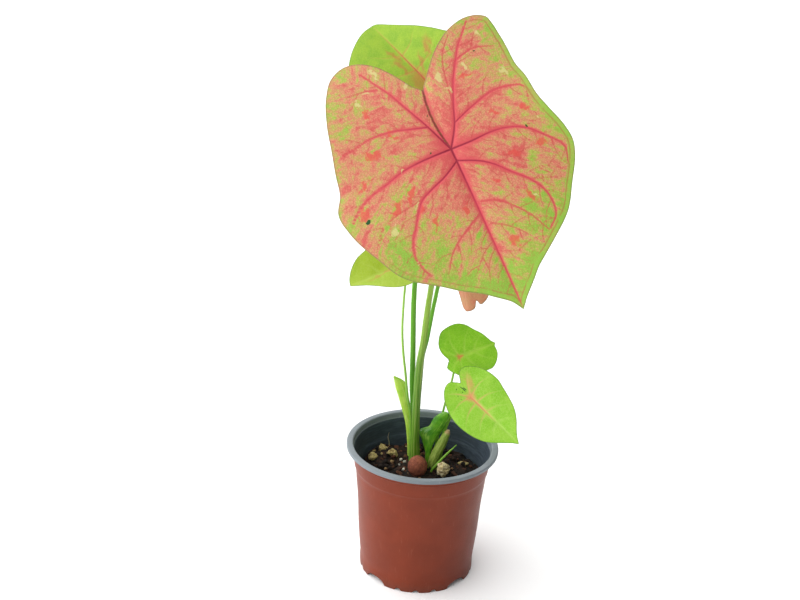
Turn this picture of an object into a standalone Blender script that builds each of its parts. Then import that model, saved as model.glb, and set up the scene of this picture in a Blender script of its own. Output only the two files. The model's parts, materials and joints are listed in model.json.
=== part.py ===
"""Potted caladium: a nursery pot with soil and a tuber, six leaves on stalks, young shoots and gravel.

The origin is at the centre of the pot's flat underside. +Z is up and the plant faces -Y.
Sizes are written in millimetres and scaled to metres by MM.
"""

import math
import random
from dataclasses import dataclass

import bmesh
import bpy
from mathutils import Matrix, Vector

MM = 0.001
GAP = 0.3                    # room between two pieces that touch

# Pot
POT_HEIGHT = 95.0
RIM_RADIUS = 52.5            # outer edge of the flange
MOUTH_RADIUS = 47.8          # inner edge of the flange
RIM_THICKNESS = 1.3
LIP_DEPTH = 2.4              # how far the flange's edge turns down
WALL = 1.0
SHELF_HEIGHT = 78.0          # the wall narrows here, under the collar
COLLAR_RADIUS = 46.5
FOOT_RADIUS = 40.3
FLOOR_UNDERSIDE = 5.0
FLOOR_THICKNESS = 1.4
PAD_RADIUS = 22.4            # the middle of the floor that stands on the ground
SKIRT_EDGE = 1.1             # thickness of the skirt's lower edge
RIM_ROUND = 0.7              # how far the flange's edges are rounded
SHELF_STEP = 0.9             # height over which the wall widens at the shelf
POT_STEPS = 40
# Outer wall below the shelf: height and radius
WALL_CURVE = ((77.0, 45.6), (68.0, 44.8), (53.0, 43.3), (31.0, 42.1), (9.0, 40.1))
ARCH_WIDTH = 16.8
ARCH_HEIGHT = 4.4
ARCH_ANGLES = (45, 135, 225, 315)
NOTCH_RADIUS = 2.0
NOTCH_OFFSETS = (-18, 0, 18)
DRAIN_RADIUS = 3.4
DRAIN_CIRCLE = 31.0
DRAIN_COUNT = 8

# Soil and what is buried in it
SOIL_LEVEL = 70.0
SOIL_RINGS = (41.8, 34.0, 26.0, 17.0, 8.0, 0.0)
MOUND_CENTRE = (-27.0, 24.0)
MOUND_HEIGHT = 4.6
MOUND_SPREAD = 9.0
TUBER_CENTRE = (2.0, 17.0, 47.0)
TUBER_RADII = (18.0, 16.0, 13.0)
TUBER_KNOBS = 5
TUBER_KNOB = 0.03            # height of the tuber's knobs as a share of its radii
HOLE_CLEARANCE = 0.45        # room round a thing that stands in the soil

# Leaves
CROWDING = 0.55              # how strongly the rays of a blade gather at its tip and its notch
MIDRIB_SOFTNESS = 4.0        # width over which the fold at the midrib is rounded
STALK_STEPS = 3              # points of a stalk between two points of its route
SHEATH_STEPS = 2


@dataclass
class Leaf:
    """One leaf. An outline runs from the tip, 0 degrees, round to the notch, 180 degrees."""

    name: str
    star: tuple              # where the stalk meets the blade
    facing: tuple            # degrees that the upper face looks towards +X, and upwards
    turn: float              # degrees that the tip swings towards +X from hanging straight down
    right: tuple             # degrees from the tip and distance from the star
    left: tuple
    base: tuple              # where the stalk stands in the soil
    route: tuple             # places that the stalk passes
    radii: tuple             # the stalk's radius, evenly spaced from its base to the blade
    rays: int
    rings: int
    colour: tuple
    thickness: float = 0.7
    fold: float = 0.0        # slope of both halves away from the midrib
    groove: float = 0.0      # depth of the valley along the midrib
    droop: float = 0.0       # how far the tip bends back
    curl: float = 0.0        # how far the lobes bend back
    sag: float = 0.0         # how far the sides bend back
    wave: float = 0.0        # height of the margin's waves
    waves: int = 5

    @property
    def length(self):
        return self.right[0][1]


FRONT = Leaf(
    name="front", star=(5.8, -28.0, 308.7), facing=(4, 26), turn=26.1,
    right=((0, 105), (3, 99), (7, 93.5), (13, 87), (25, 81.8), (39, 79.4), (51, 76.2), (65, 75.7), (71, 74.6),
           (78, 70.8), (88, 65.2), (99, 62.6), (111, 65.2), (120, 67.8), (132, 78.5), (136.5, 83.7),
           (140.5, 87.3), (148, 84.1), (156, 74.8), (163, 63.4), (172, 48.7), (180, 39.8)),
    left=((0, 105), (2.5, 98.7), (6, 94.3), (12.5, 88.5), (21, 85), (30, 82.5), (46, 82.8), (58, 80.1),
          (75, 79.4), (84, 78.4), (91.4, 72.4), (100, 71), (113, 71.5), (125.6, 75.7), (137.4, 81),
          (146, 83.8), (154.5, 81), (162, 71.3), (169, 55), (173, 46.2), (180, 39.8)),
    base=(-3.9, 11.1),
    route=((-5.0, 10.5, 91), (-5.4, 10, 125), (-4.7, 8, 151), (-3.3, 5, 168), (-1.9, 0, 193.6),
           (-0.4, -3, 212), (2.2, -10, 245), (4.6, -17, 280)),
    radii=(3.7, 3.6, 2.95, 2.9, 2.3, 2.0, 1.9, 1.8, 1.8, 1.9),
    rays=64, rings=8, colour=(0.80, 0.35, 0.22), thickness=0.8,
    groove=2.0, droop=9.0, curl=15.0, sag=6.0, wave=1.5)

BACK = Leaf(
    name="back", star=(-3.5, 20.0, 333.6), facing=(-8, 30), turn=-132.0,
    right=((0, 64.2), (7, 64.4), (14, 63.2), (29, 59.7), (45, 55), (65, 49), (90, 44), (115, 42), (140, 43),
           (158, 38), (170, 28), (180, 20)),
    left=((0, 64.2), (2.4, 62.9), (8, 57.2), (15.6, 51.6), (24.6, 47.1), (35, 43), (49, 39.5), (65, 39),
          (90, 40), (115, 42), (140, 43), (158, 38), (170, 28), (180, 20)),
    base=(-3.2, 20.0),
    route=((-6, 19.5, 100), (-8.8, 18.5, 129), (-9.7, 18, 154), (-10.9, 18, 186), (-11, 18.5, 203),
           (-9.4, 20, 250), (-6.4, 23, 300)),
    radii=(2.3, 2.3, 2.1, 1.9, 1.8, 1.7, 1.6, 1.5),
    rays=44, rings=5, colour=(0.42, 0.70, 0.05), fold=0.12, groove=1.5, droop=5.0, curl=2.0, wave=0.8)

LEFT = Leaf(
    name="left", star=(-16.4, 7.5, 223.8), facing=(0, 50), turn=-62.0,
    right=((0, 41.5), (4, 36.5), (9.4, 32), (20, 27.8), (34, 24.8), (57, 21.5), (80, 18.5), (100, 16),
           (125, 14), (150, 13), (165, 11.5), (180, 8)),
    left=((0, 41.5), (5, 40.7), (12.4, 38.6), (25, 34), (36, 29), (52, 24), (75, 20), (100, 16), (125, 14),
          (150, 13), (165, 11.5), (180, 8)),
    base=(-7.5, 17.0),
    route=((-8.4, 16, 100), (-9.4, 14.5, 111), (-11.9, 14, 123), (-14.1, 14, 140), (-16.4, 14, 156),
           (-17.8, 14, 172), (-17.9, 13, 188), (-17.5, 13, 203)),
    radii=(1.3, 1.2, 1.0, 0.9, 0.85, 0.8, 0.8, 0.8),
    rays=36, rings=4, colour=(0.40, 0.66, 0.06), fold=0.4, droop=1.5, wave=0.4)

RIGHT = Leaf(
    name="right", star=(10.6, 12.0, 255.9), facing=(-20, 22), turn=19.3,
    right=((0, 63.6), (3.1, 63.4), (5.4, 61.8), (6.9, 57.8), (8.4, 60.8), (11, 60.3), (14.3, 57.9), (18, 54),
           (26, 45), (45, 35), (70, 28), (100, 24), (130, 23), (155, 20), (180, 12)),
    left=((0, 63.6), (1.3, 62), (2.3, 59.2), (3.2, 54), (5, 48), (8, 43), (16, 34), (32, 26), (60, 22),
          (90, 20), (120, 20), (145, 20), (165, 16), (180, 12)),
    base=(-3.5, 28.5),
    route=((-5.2, 26, 100), (-5, 22, 130), (-3.4, 18.5, 150), (-0.7, 17, 165), (0.7, 16, 176.5),
           (2.1, 15.5, 188), (4.2, 15, 203), (8.5, 17, 232)),
    radii=(2.2, 2.1, 1.8, 1.5, 1.4, 1.4, 1.4, 1.4),
    rays=44, rings=5, colour=(0.72, 0.36, 0.20), fold=-0.45, droop=1.0, wave=0.4)

SMALL_UPPER = Leaf(
    name="small_upper", star=(22.2, 16.0, 154.0), facing=(5, 35), turn=112.2,
    right=((0, 27.5), (7, 25), (25, 23), (41, 22), (58, 23), (73, 23), (89, 22), (105, 21), (121, 18),
           (136, 15), (154, 11), (168, 8.4), (180, 8)),
    left=((0, 27.5), (3, 26.4), (14, 27), (27, 26), (40, 24), (49, 21), (62, 18.5), (80, 16.5),
          (100, 14.5), (124, 12.5), (144, 12), (160, 11.5), (170, 9.5), (180, 8)),
    base=(8.8, 18.6),
    route=((12.3, 17.5, 101), (14.3, 16.8, 116), (18.2, 16.8, 135.5), (19.7, 18.6, 144)),
    radii=(1.0, 0.9, 0.8, 0.8, 0.8),
    rays=36, rings=4, colour=(0.30, 0.60, 0.03), fold=0.08, groove=0.5, droop=1.5, curl=1.5, wave=0.4)

SMALL_LOWER = Leaf(
    name="small_lower", star=(30.2, -8.0, 135.6), facing=(0, 36), turn=48.1,
    right=((0, 44.7), (4, 40.5), (10, 37), (27, 31), (43, 26), (59, 23), (75, 22), (94, 21), (119, 21),
           (145, 21), (156, 19.4), (161, 17.5), (165, 14.5), (170, 12), (175, 13), (180, 14.3)),
    left=((0, 44.7), (4, 41), (14, 36), (27, 32), (40, 28), (56, 24), (74, 21), (93, 19), (114, 18),
          (130, 18), (148, 18.3), (162, 18.2), (172, 17), (180, 14.3)),
    base=(13.2, 14.8),
    route=((14.8, 17, 92), (17.2, 16.8, 103), (20.8, 12.5, 114), (25.2, 5, 123.5), (28.8, -1.6, 130)),
    radii=(1.4, 1.4, 1.3, 1.2, 1.1, 1.1),
    rays=44, rings=4, colour=(0.42, 0.68, 0.06), fold=0.06, groove=0.6, droop=2.0, curl=1.0, wave=0.5)

LEAVES = (FRONT, BACK, LEFT, RIGHT, SMALL_UPPER, SMALL_LOWER)

# Young shoots: route and half width or radius at each of its places
CATAPHYLL_BASE = (-7.5, 23.5)
CATAPHYLL_ROUTE = ((-8.4, 23.8, 85), (-10.1, 24, 98), (-12.8, 23.5, 110), (-15.8, 22.6, 122.4),
                   (-17.8, 21.9, 128.4), (-22, 21, 134.6))
CATAPHYLL_HALF_WIDTHS = (2.0, 2.0, 2.1, 2.2, 2.9, 3.7, 3.5, 0.4)
CURLED_BASE = (4.6, 12.8)
CURLED_ROUTE = ((4.6, 12.8, 81), (4.8, 12.8, 88), (6, 13, 93.5), (8.2, 13, 98.5), (11.3, 12.4, 104),
                (14.3, 11.3, 109), (16.6, 10.3, 113.5))
CURLED_LEFT = (1.6, 1.6, 1.9, 4.4, 8.4, 4.4, 5.0, 4.4, 2.0)      # half widths on the side of its ear
CURLED_RIGHT = (1.6, 1.6, 1.9, 3.6, 5.0, 5.6, 4.8, 3.2, 1.4)
SHEATH_THICKNESS = 0.8
SHEATH_ROLL = 75             # degrees that each half of a sheath wraps backwards
SHEATH_DEPTH = 0.5           # how deep the wrapped section is, as a share of a round one
SHEATH_ACROSS = 6            # faces across a sheath
STUB_BASE = (8.3, 8.6)
STUB_ROUTE = ((8.7, 8.7, 77), (11.6, 9.2, 85), (15, 9.7, 93), (16.9, 9.7, 97.8), (17.7, 9.6, 100.6))
STUB_RADII = (3.6, 3.7, 3.7, 3.6, 3.2, 2.4, 1.2)
OFFSHOOT_BASE = (6.9, 2.8)
OFFSHOOT_ROUTE = ((8.2, 2.9, 73), (13, 3.6, 79.4), (18.2, 4.2, 85.7), (23.8, 5, 91.8))
OFFSHOOT_RADII = (0.8, 0.8, 0.85, 0.8, 0.7, 0.3)
OFFSHOOT_DEPTH = 60.0        # height of its lower end, in the soil


@dataclass
class Stone:
    """A stone on the soil: its place, its radii, the share of its height that is sunk, and its corners."""

    name: str
    place: tuple
    radii: tuple
    sunk: float
    corners: int
    colour: tuple


OCHRE = (0.44, 0.33, 0.10)
CREAM = (0.66, 0.58, 0.34)
WHITE = (0.80, 0.80, 0.72)
PALE_GREEN = (0.50, 0.50, 0.30)
STONES = (
    Stone("cream_stone", (15.3, -1.9), (6.4, 5.2, 7.0), 0.04, 26, CREAM),
    Stone("gravel_1", (-34.9, 15.6), (5.3, 4.0, 4.0), 0.3, 24, OCHRE),
    Stone("gravel_2", (-34.0, 22.6), (1.7, 1.7, 1.6), 0.3, 18, OCHRE),
    Stone("gravel_3", (-28.0, 24.8), (4.6, 3.6, 4.2), 0.3, 22, OCHRE),
    Stone("gravel_4", (-28.0, 18.7), (1.5, 1.5, 1.4), 0.3, 16, OCHRE),
    Stone("gravel_5", (-20.8, 18.4), (5.2, 3.8, 4.8), 0.3, 24, OCHRE),
    Stone("gravel_6", (-26.2, 15.0), (1.5, 1.5, 1.4), 0.3, 16, OCHRE),
    Stone("gravel_7", (-20.5, 12.6), (1.7, 1.7, 1.6), 0.3, 16, OCHRE),
    Stone("gravel_8", (-11.6, 21.6), (1.7, 1.5, 1.2), 0.3, 16, OCHRE),
    Stone("gravel_9", (30.0, 16.2), (5.4, 3.0, 2.2), 0.4, 20, OCHRE),
    Stone("gravel_10", (-10.6, 35.4), (1.9, 1.6, 1.4), 0.3, 16, CREAM),
    Stone("perlite_1", (-14.2, 16.2), (1.7, 1.6, 1.6), 0.2, 18, WHITE),
    Stone("perlite_2", (-11.7, 13.4), (1.7, 1.6, 1.8), 0.2, 18, WHITE),
    Stone("perlite_3", (-14.8, 10.6), (1.5, 1.5, 1.6), 0.3, 16, PALE_GREEN),
    Stone("perlite_4", (-12.2, 4.8), (1.8, 1.6, 1.7), 0.3, 16, PALE_GREEN),
)
FLATTEST_CORNER = 0.88       # least share of its radii at which a stone's corner lies
CLAY_BALL_PLACE = (-2.5, -0.2)
CLAY_BALL_RADII = (7.2, 7.2, 8.0)
CLAY_BALL_SUNK = 0.08
CLAY_LUMP = 0.03             # height of the ball's lumps as a share of its radii
CLAY_LUMP_SIZES = (2.1, 2.6, 2.3)


def start_empty():
    """Remove every object and make the collections."""
    for thing in list(bpy.data.objects):
        bpy.data.objects.remove(thing, do_unlink=True)
    for name in ("potted_caladium", "pot_cutters", "soil_cutters", "guides"):
        collection = bpy.data.collections.new(name)
        bpy.context.scene.collection.children.link(collection)


def material(name, colour, roughness, metallic=0.0):
    """A plain Principled material."""
    made = bpy.data.materials.new(name)
    made.use_nodes = True
    shader = made.node_tree.nodes["Principled BSDF"]
    shader.inputs["Base Color"].default_value = (*colour, 1.0)
    shader.inputs["Roughness"].default_value = roughness
    shader.inputs["Metallic"].default_value = metallic
    made.diffuse_color = (*colour, 1.0)
    return made


def place(name, data, collection="potted_caladium", finish=None):
    """An object for the given data, in its collection. A cutter or a guide is shown as wire."""
    thing = bpy.data.objects.new(name, data)
    bpy.data.collections[collection].objects.link(thing)
    if collection == "potted_caladium":
        thing.parent = bpy.data.objects["planting"]
    else:
        thing.hide_render = True
        thing.display_type = "WIRE"
    if finish:
        data.materials.append(finish)
    return thing


def metres(point):
    """A point in millimetres as a vector in metres."""
    return Vector(point) * MM


def mesh_from(bm, name, smooth=True):
    """A mesh holding the given shape, shaded smooth up to a sharp edge."""
    mesh = bpy.data.meshes.new(name)
    bm.to_mesh(mesh)
    bm.free()
    if smooth:
        mesh.shade_smooth()
        mesh.set_sharp_from_angle(angle=math.radians(40))
    return mesh


def profile_curve(name, points):
    """An open edge line in the XZ plane, to be turned about Z."""
    mesh = bpy.data.meshes.new(name)
    corners = [metres((x, 0, z)) for x, z in points]
    lines = [(i, i + 1) for i in range(len(corners) - 1)]
    mesh.from_pydata(corners, lines, [])
    return mesh


def turn_about_z(thing, steps):
    """Turn an object's profile into a closed body."""
    screw = thing.modifiers.new("turned", "SCREW")
    screw.steps = steps
    screw.render_steps = steps
    screw.use_merge_vertices = True
    screw.merge_threshold = 0.00001
    screw.use_smooth_shade = True


def cut_with(thing, collection):
    """Cut every solid of a collection out of an object."""
    cut = thing.modifiers.new("cuts", "BOOLEAN")
    cut.operation = "DIFFERENCE"
    cut.solver = "EXACT"
    cut.operand_type = "COLLECTION"
    cut.collection = bpy.data.collections[collection]


def cutter_cylinder(name, collection, radius, low, high, centre, sides=10):
    """An upright cylinder between two heights."""
    bm = bmesh.new()
    middle = Matrix.Translation(metres((centre[0], centre[1], (low + high) / 2)))
    bmesh.ops.create_cone(bm, cap_ends=True, segments=sides, radius1=radius * MM, radius2=radius * MM,
                          depth=(high - low) * MM, matrix=middle)
    return place(name, mesh_from(bm, name, smooth=False), collection)


def ellipsoid(bm, centre, radii, segments, rings):
    """A ball stretched to three radii."""
    stretch = Matrix.Diagonal((*metres(radii), 1.0))
    bmesh.ops.create_uvsphere(bm, u_segments=segments, v_segments=rings, radius=1.0,
                              matrix=Matrix.Translation(metres(centre)) @ stretch)


def cutter_ellipsoid(name, collection, centre, radii, segments, rings):
    """A stretched ball to be cut away."""
    bm = bmesh.new()
    ellipsoid(bm, centre, radii, segments, rings)
    return place(name, mesh_from(bm, name, smooth=False), collection)


def inner_wall():
    """Height and radius of the wall's inner side below the shelf, from the shelf down to the floor."""
    return [(height, radius - WALL) for height, radius in WALL_CURVE]


def pot_profile():
    """Half of the pot's section: up the inside from the axis, over the flange and down the outside."""
    floor_top = FLOOR_UNDERSIDE + FLOOR_THICKNESS
    rim_underside = POT_HEIGHT - RIM_THICKNESS
    lip_edge = POT_HEIGHT - LIP_DEPTH
    neck = POT_HEIGHT - 4.0      # where the collar starts to turn out into the flange
    foot_inside = FOOT_RADIUS - SKIRT_EDGE
    inside = [(0, FLOOR_THICKNESS), (PAD_RADIUS - 0.8, FLOOR_THICKNESS), (PAD_RADIUS + 1.5, floor_top),
              (FOOT_RADIUS - 1.7, floor_top)]
    inside += [(radius, height) for height, radius in reversed(inner_wall())]
    inside += [(COLLAR_RADIUS - WALL - 0.2, SHELF_HEIGHT + 0.4), (MOUTH_RADIUS - WALL, neck - 0.4),
               (MOUTH_RADIUS - WALL / 2, neck + 0.2)]
    rim = [(MOUTH_RADIUS, POT_HEIGHT - 0.6), (MOUTH_RADIUS + RIM_ROUND, POT_HEIGHT),
           (RIM_RADIUS - RIM_ROUND, POT_HEIGHT), (RIM_RADIUS - 0.15, POT_HEIGHT - 0.3),
           (RIM_RADIUS, POT_HEIGHT - 0.9), (RIM_RADIUS - 0.1, lip_edge), (RIM_RADIUS - 0.9, lip_edge),
           (RIM_RADIUS - 1.1, rim_underside), (MOUTH_RADIUS + 1.1, rim_underside)]
    outside = [(MOUTH_RADIUS + 0.3, neck), (COLLAR_RADIUS, SHELF_HEIGHT + SHELF_STEP)]
    outside += [(radius, height) for height, radius in WALL_CURVE]
    foot = [(FOOT_RADIUS, 0), (foot_inside, 0), (foot_inside - 0.7, FLOOR_UNDERSIDE),
            (PAD_RADIUS + 2.0, FLOOR_UNDERSIDE), (PAD_RADIUS, 0), (0, 0)]
    return inside + rim + outside + foot


def foot_cutter(name, angle, half_width, height):
    """A lying cylinder, flattened to the given height, that cuts an arch through the foot's skirt."""
    depth = 8.0
    bm = bmesh.new()
    flatten = Matrix.Diagonal((1.0, 1.0, height / half_width, 1.0))
    lie_down = Matrix.Rotation(math.radians(90), 4, "Y")
    outwards = Matrix.Rotation(math.radians(angle), 4, "Z") @ Matrix.Translation(metres((FOOT_RADIUS, 0, 0)))
    bmesh.ops.create_cone(bm, cap_ends=True, segments=16, radius1=half_width * MM, radius2=half_width * MM,
                          depth=depth * MM, matrix=outwards @ flatten @ lie_down)
    return place(name, mesh_from(bm, name, smooth=False), "pot_cutters")


def make_pot():
    """The pot: one thin moulded wall with a flange, a shelf, a raised floor and a skirt with arches."""
    pot = place("pot", profile_curve("pot", pot_profile()), finish=material("terracotta_plastic",
                                                                           (0.42, 0.09, 0.04), 0.35))
    turn_about_z(pot, POT_STEPS)
    for number, angle in enumerate(ARCH_ANGLES):
        foot_cutter(f"arch_{number}", angle, ARCH_WIDTH / 2, ARCH_HEIGHT)
        for offset in NOTCH_OFFSETS:
            foot_cutter(f"notch_{number}_{offset}", angle + 45 + offset, NOTCH_RADIUS, NOTCH_RADIUS)
    for number in range(DRAIN_COUNT):
        angle = math.tau * (number + 0.5) / DRAIN_COUNT
        centre = (DRAIN_CIRCLE * math.cos(angle), DRAIN_CIRCLE * math.sin(angle))
        cutter_cylinder(f"drain_{number}", "pot_cutters", DRAIN_RADIUS, 3.0, 9.0, centre)
    cut_with(pot, "pot_cutters")


def soil_height(x, y):
    """Height of the soil: a level with a mound at the left and small lumps."""
    from_mound = math.hypot(x - MOUND_CENTRE[0], y - MOUND_CENTRE[1])
    mound = MOUND_HEIGHT * math.exp(-0.5 * (from_mound / MOUND_SPREAD) ** 2)
    lumps = 0.6 * math.sin(0.31 * x + 1.0) * math.sin(0.27 * y + 2.0) + 0.4 * math.sin(0.53 * x - 0.47 * y)
    return SOIL_LEVEL + mound + lumps


def make_soil():
    """The soil fills the pot up to a shelf's depth below the mouth, with a hole for each thing in it."""
    floor_top = FLOOR_UNDERSIDE + FLOOR_THICKNESS + GAP
    top = [(radius, SOIL_LEVEL) for radius in reversed(SOIL_RINGS)]
    side = [(radius - GAP, height) for height, radius in inner_wall()[1:]]
    bottom = [(FOOT_RADIUS - 2.1, floor_top), (PAD_RADIUS + 1.2, floor_top),
              (PAD_RADIUS - 1.2, FLOOR_THICKNESS + GAP), (0, FLOOR_THICKNESS + GAP)]
    rough = place("soil_profile", profile_curve("soil_profile", top + side + bottom), "guides")
    turn_about_z(rough, POT_STEPS)
    bpy.context.view_layer.update()
    turned = rough.evaluated_get(bpy.context.evaluated_depsgraph_get())
    mesh = bpy.data.meshes.new_from_object(turned)
    bpy.data.objects.remove(rough, do_unlink=True)
    for vertex in mesh.vertices:
        if vertex.co.z > (SOIL_LEVEL - 0.5) * MM:
            vertex.co.z = soil_height(vertex.co.x / MM, vertex.co.y / MM) * MM
    mesh.name = "soil"
    soil = place("soil", mesh, finish=material("potting_soil", (0.035, 0.018, 0.010), 0.95))
    cut_with(soil, "soil_cutters")


def tuber_top(x, y):
    """Height of the tuber's upper side."""
    across = ((x - TUBER_CENTRE[0]) / TUBER_RADII[0]) ** 2 + ((y - TUBER_CENTRE[1]) / TUBER_RADII[1]) ** 2
    return TUBER_CENTRE[2] + TUBER_RADII[2] * math.sqrt(max(0.0, 1.0 - across))


def make_tuber():
    """The tuber, a knobbly ball that every stalk grows from, in a hollow of its own shape in the soil."""
    bm = bmesh.new()
    ellipsoid(bm, TUBER_CENTRE, TUBER_RADII, 14, 8)
    centre = metres(TUBER_CENTRE)
    for vertex in bm.verts:
        out = vertex.co - centre
        bearing = math.atan2(out.y, out.x)
        knob = 1 - TUBER_KNOB + TUBER_KNOB * math.sin(TUBER_KNOBS * bearing) * math.cos(out.z / (4 * MM))
        vertex.co = centre + out * knob
    place("tuber", mesh_from(bm, "tuber"), finish=material("tuber_skin", (0.16, 0.08, 0.04), 0.85))
    hollow = [radius + HOLE_CLEARANCE for radius in TUBER_RADII]
    cutter_ellipsoid("tuber_hollow", "soil_cutters", TUBER_CENTRE, hollow, 14, 8)


def smooth_value(pairs, at):
    """The value at a place, on a smooth line through pairs of place and value."""
    last = len(pairs) - 1
    passed = sum(1 for spot, _ in pairs if spot <= at)
    i = min(max(passed - 1, 0), last - 1)

    def slope(k):
        low = pairs[max(k - 1, 0)]
        high = pairs[min(k + 1, last)]
        return (high[1] - low[1]) / (high[0] - low[0])

    (x0, y0), (x1, y1) = pairs[i], pairs[i + 1]
    span = x1 - x0
    t = (at - x0) / span
    return (y0 * (1 + 2 * t) * (1 - t) ** 2 + slope(i) * span * t * (1 - t) ** 2
            + y1 * t ** 2 * (3 - 2 * t) + slope(i + 1) * span * t ** 2 * (t - 1))


def smooth_path(points, steps):
    """A smooth curve through the points, with a number of steps between each two of them."""
    walked = [0.0]
    for here, there in zip(points, points[1:]):
        walked.append(walked[-1] + (there - here).length)
    path = []
    for start, end in zip(walked, walked[1:]):
        for step in range(steps):
            path.append(smooth_value(list(zip(walked, points)), start + (end - start) * step / steps))
    path.append(points[-1])
    return path


def spread_value(values, share):
    """The value at a share of the way along an evenly spaced list."""
    return smooth_value([(i / (len(values) - 1), value) for i, value in enumerate(values)], share)


def rooted_route(base, radius, route):
    """A route that starts upright on the tuber, passes the soil's surface and goes on as given."""
    foot = tuber_top(*base) + GAP + radius
    return [Vector((*base, foot)), Vector((*base, SOIL_LEVEL + 1.0))] + [Vector(point) for point in route]


def make_tube(name, points, radii, finish):
    """A round stalk along a smooth route, with its own radius at each place."""
    path = smooth_path(points, STALK_STEPS)
    widest = max(radii)
    curve = bpy.data.curves.new(name, "CURVE")
    curve.dimensions = "3D"
    curve.bevel_depth = widest * MM
    curve.bevel_resolution = 2
    curve.use_fill_caps = True
    spline = curve.splines.new("POLY")
    spline.points.add(len(path) - 1)
    for i, (point, spot) in enumerate(zip(spline.points, path)):
        point.co = (*metres(spot), 1.0)
        point.radius = spread_value(radii, i / (len(path) - 1)) / widest
    return place(name, curve, finish=finish)


def make_hole(name, base, radius, depth):
    """A plain upright hole in the soil for a stalk."""
    cutter_cylinder(f"hole_{name}", "soil_cutters", radius + HOLE_CLEARANCE, depth, SOIL_LEVEL + 12, base)


def blade_axes(leaf):
    """Unit vectors from the star to the tip, to the blade's right side and out of its upper face."""
    azimuth, height = (math.radians(angle) for angle in leaf.facing)
    turn = math.radians(leaf.turn)
    normal = Vector((math.cos(height) * math.sin(azimuth), -math.cos(height) * math.cos(azimuth),
                     math.sin(height)))
    down = Vector((math.sin(height) * math.sin(azimuth), -math.sin(height) * math.cos(azimuth),
                   -math.cos(height)))
    tip = math.cos(turn) * down + math.sin(turn) * normal.cross(down)
    return tip, normal.cross(tip), normal


def blade_height(leaf, along, across, reach, angle):
    """Height of the upper face over the flat of the blade, at a place in the blade."""
    from_midrib = math.hypot(across, MIDRIB_SOFTNESS) - MIDRIB_SOFTNESS
    fold = leaf.fold * from_midrib + leaf.groove * from_midrib / (from_midrib + MIDRIB_SOFTNESS)
    bend = leaf.droop if along > 0 else leaf.curl
    wave = leaf.wave * reach ** 3 * math.sin(leaf.waves * angle)
    sag = leaf.sag * (across / leaf.length) ** 2
    return fold - bend * (along / leaf.length) ** 2 - sag + wave


def make_blade(leaf):
    """A blade: a disc of rays and rings drawn out to the outline and bent, with its thickness below."""
    bm = bmesh.new()
    ray = [bm.verts.new((ring / leaf.rings, 0, 0)) for ring in range(leaf.rings + 1)]
    lines = [bm.edges.new(pair) for pair in zip(ray, ray[1:])]
    bmesh.ops.spin(bm, geom=ray + lines, cent=(0, 0, 0), axis=(0, 0, 1), angle=math.tau, steps=leaf.rays,
                   use_merge=True)
    bmesh.ops.remove_doubles(bm, verts=bm.verts, dist=0.0001)
    bmesh.ops.triangulate(bm, faces=bm.faces)
    if sum(face.normal.z for face in bm.faces) < 0:
        bmesh.ops.reverse_faces(bm, faces=bm.faces)
    for vertex in bm.verts:
        reach = min(vertex.co.length, 1.0)
        even = math.atan2(vertex.co.y, vertex.co.x)
        angle = even - CROWDING * math.sin(2 * even) / 2
        side = leaf.right if angle >= 0 else leaf.left
        radius = reach * smooth_value(side, math.degrees(abs(angle)))
        along = radius * math.cos(angle)
        across = radius * math.sin(angle)
        vertex.co = metres((along, across, blade_height(leaf, along, across, reach, angle)))
    finish = material(f"blade_{leaf.name}", leaf.colour, 0.42)
    blade = place(f"blade_{leaf.name}", mesh_from(bm, f"blade_{leaf.name}"), finish=finish)
    axes = Matrix(blade_axes(leaf)).transposed()
    blade.matrix_world = Matrix.Translation(metres(leaf.star)) @ axes.to_4x4()
    thickness = blade.modifiers.new("thickness", "SOLIDIFY")
    thickness.thickness = leaf.thickness * MM
    thickness.offset = -1.0


def make_stalk(leaf):
    """A leaf's stalk, from the tuber up to the underside of the blade, which it meets squarely."""
    normal = blade_axes(leaf)[2]
    radius = leaf.radii[-1]
    below = leaf.thickness + GAP + radius * max(0.0, -leaf.fold)
    end = Vector(leaf.star) - normal * below
    lead = end - normal * 2.5 * radius
    points = rooted_route(leaf.base, leaf.radii[0], leaf.route) + [lead, end]
    finish = material(f"petiole_{leaf.name}", (0.22, 0.42, 0.05), 0.45)
    make_tube(f"petiole_{leaf.name}", points, leaf.radii, finish)
    make_hole(leaf.name, leaf.base, leaf.radii[0], TUBER_CENTRE[2])


def sheath_row(spot, ahead, left, right):
    """Points across a sheath at one place: a flattened arc whose middle faces forwards."""
    side = ahead.cross(Vector((0, 1, 0))).normalized()
    roll = math.radians(SHEATH_ROLL)
    row = []
    for step in range(SHEATH_ACROSS + 1):
        angle = roll * (2 * step / SHEATH_ACROSS - 1)
        radius = (left if angle > 0 else right) / math.sin(roll)
        backwards = Vector((0, radius * SHEATH_DEPTH * (1 - math.cos(angle)), 0))
        row.append(spot + side * radius * math.sin(angle) + backwards)
    return row


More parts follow.
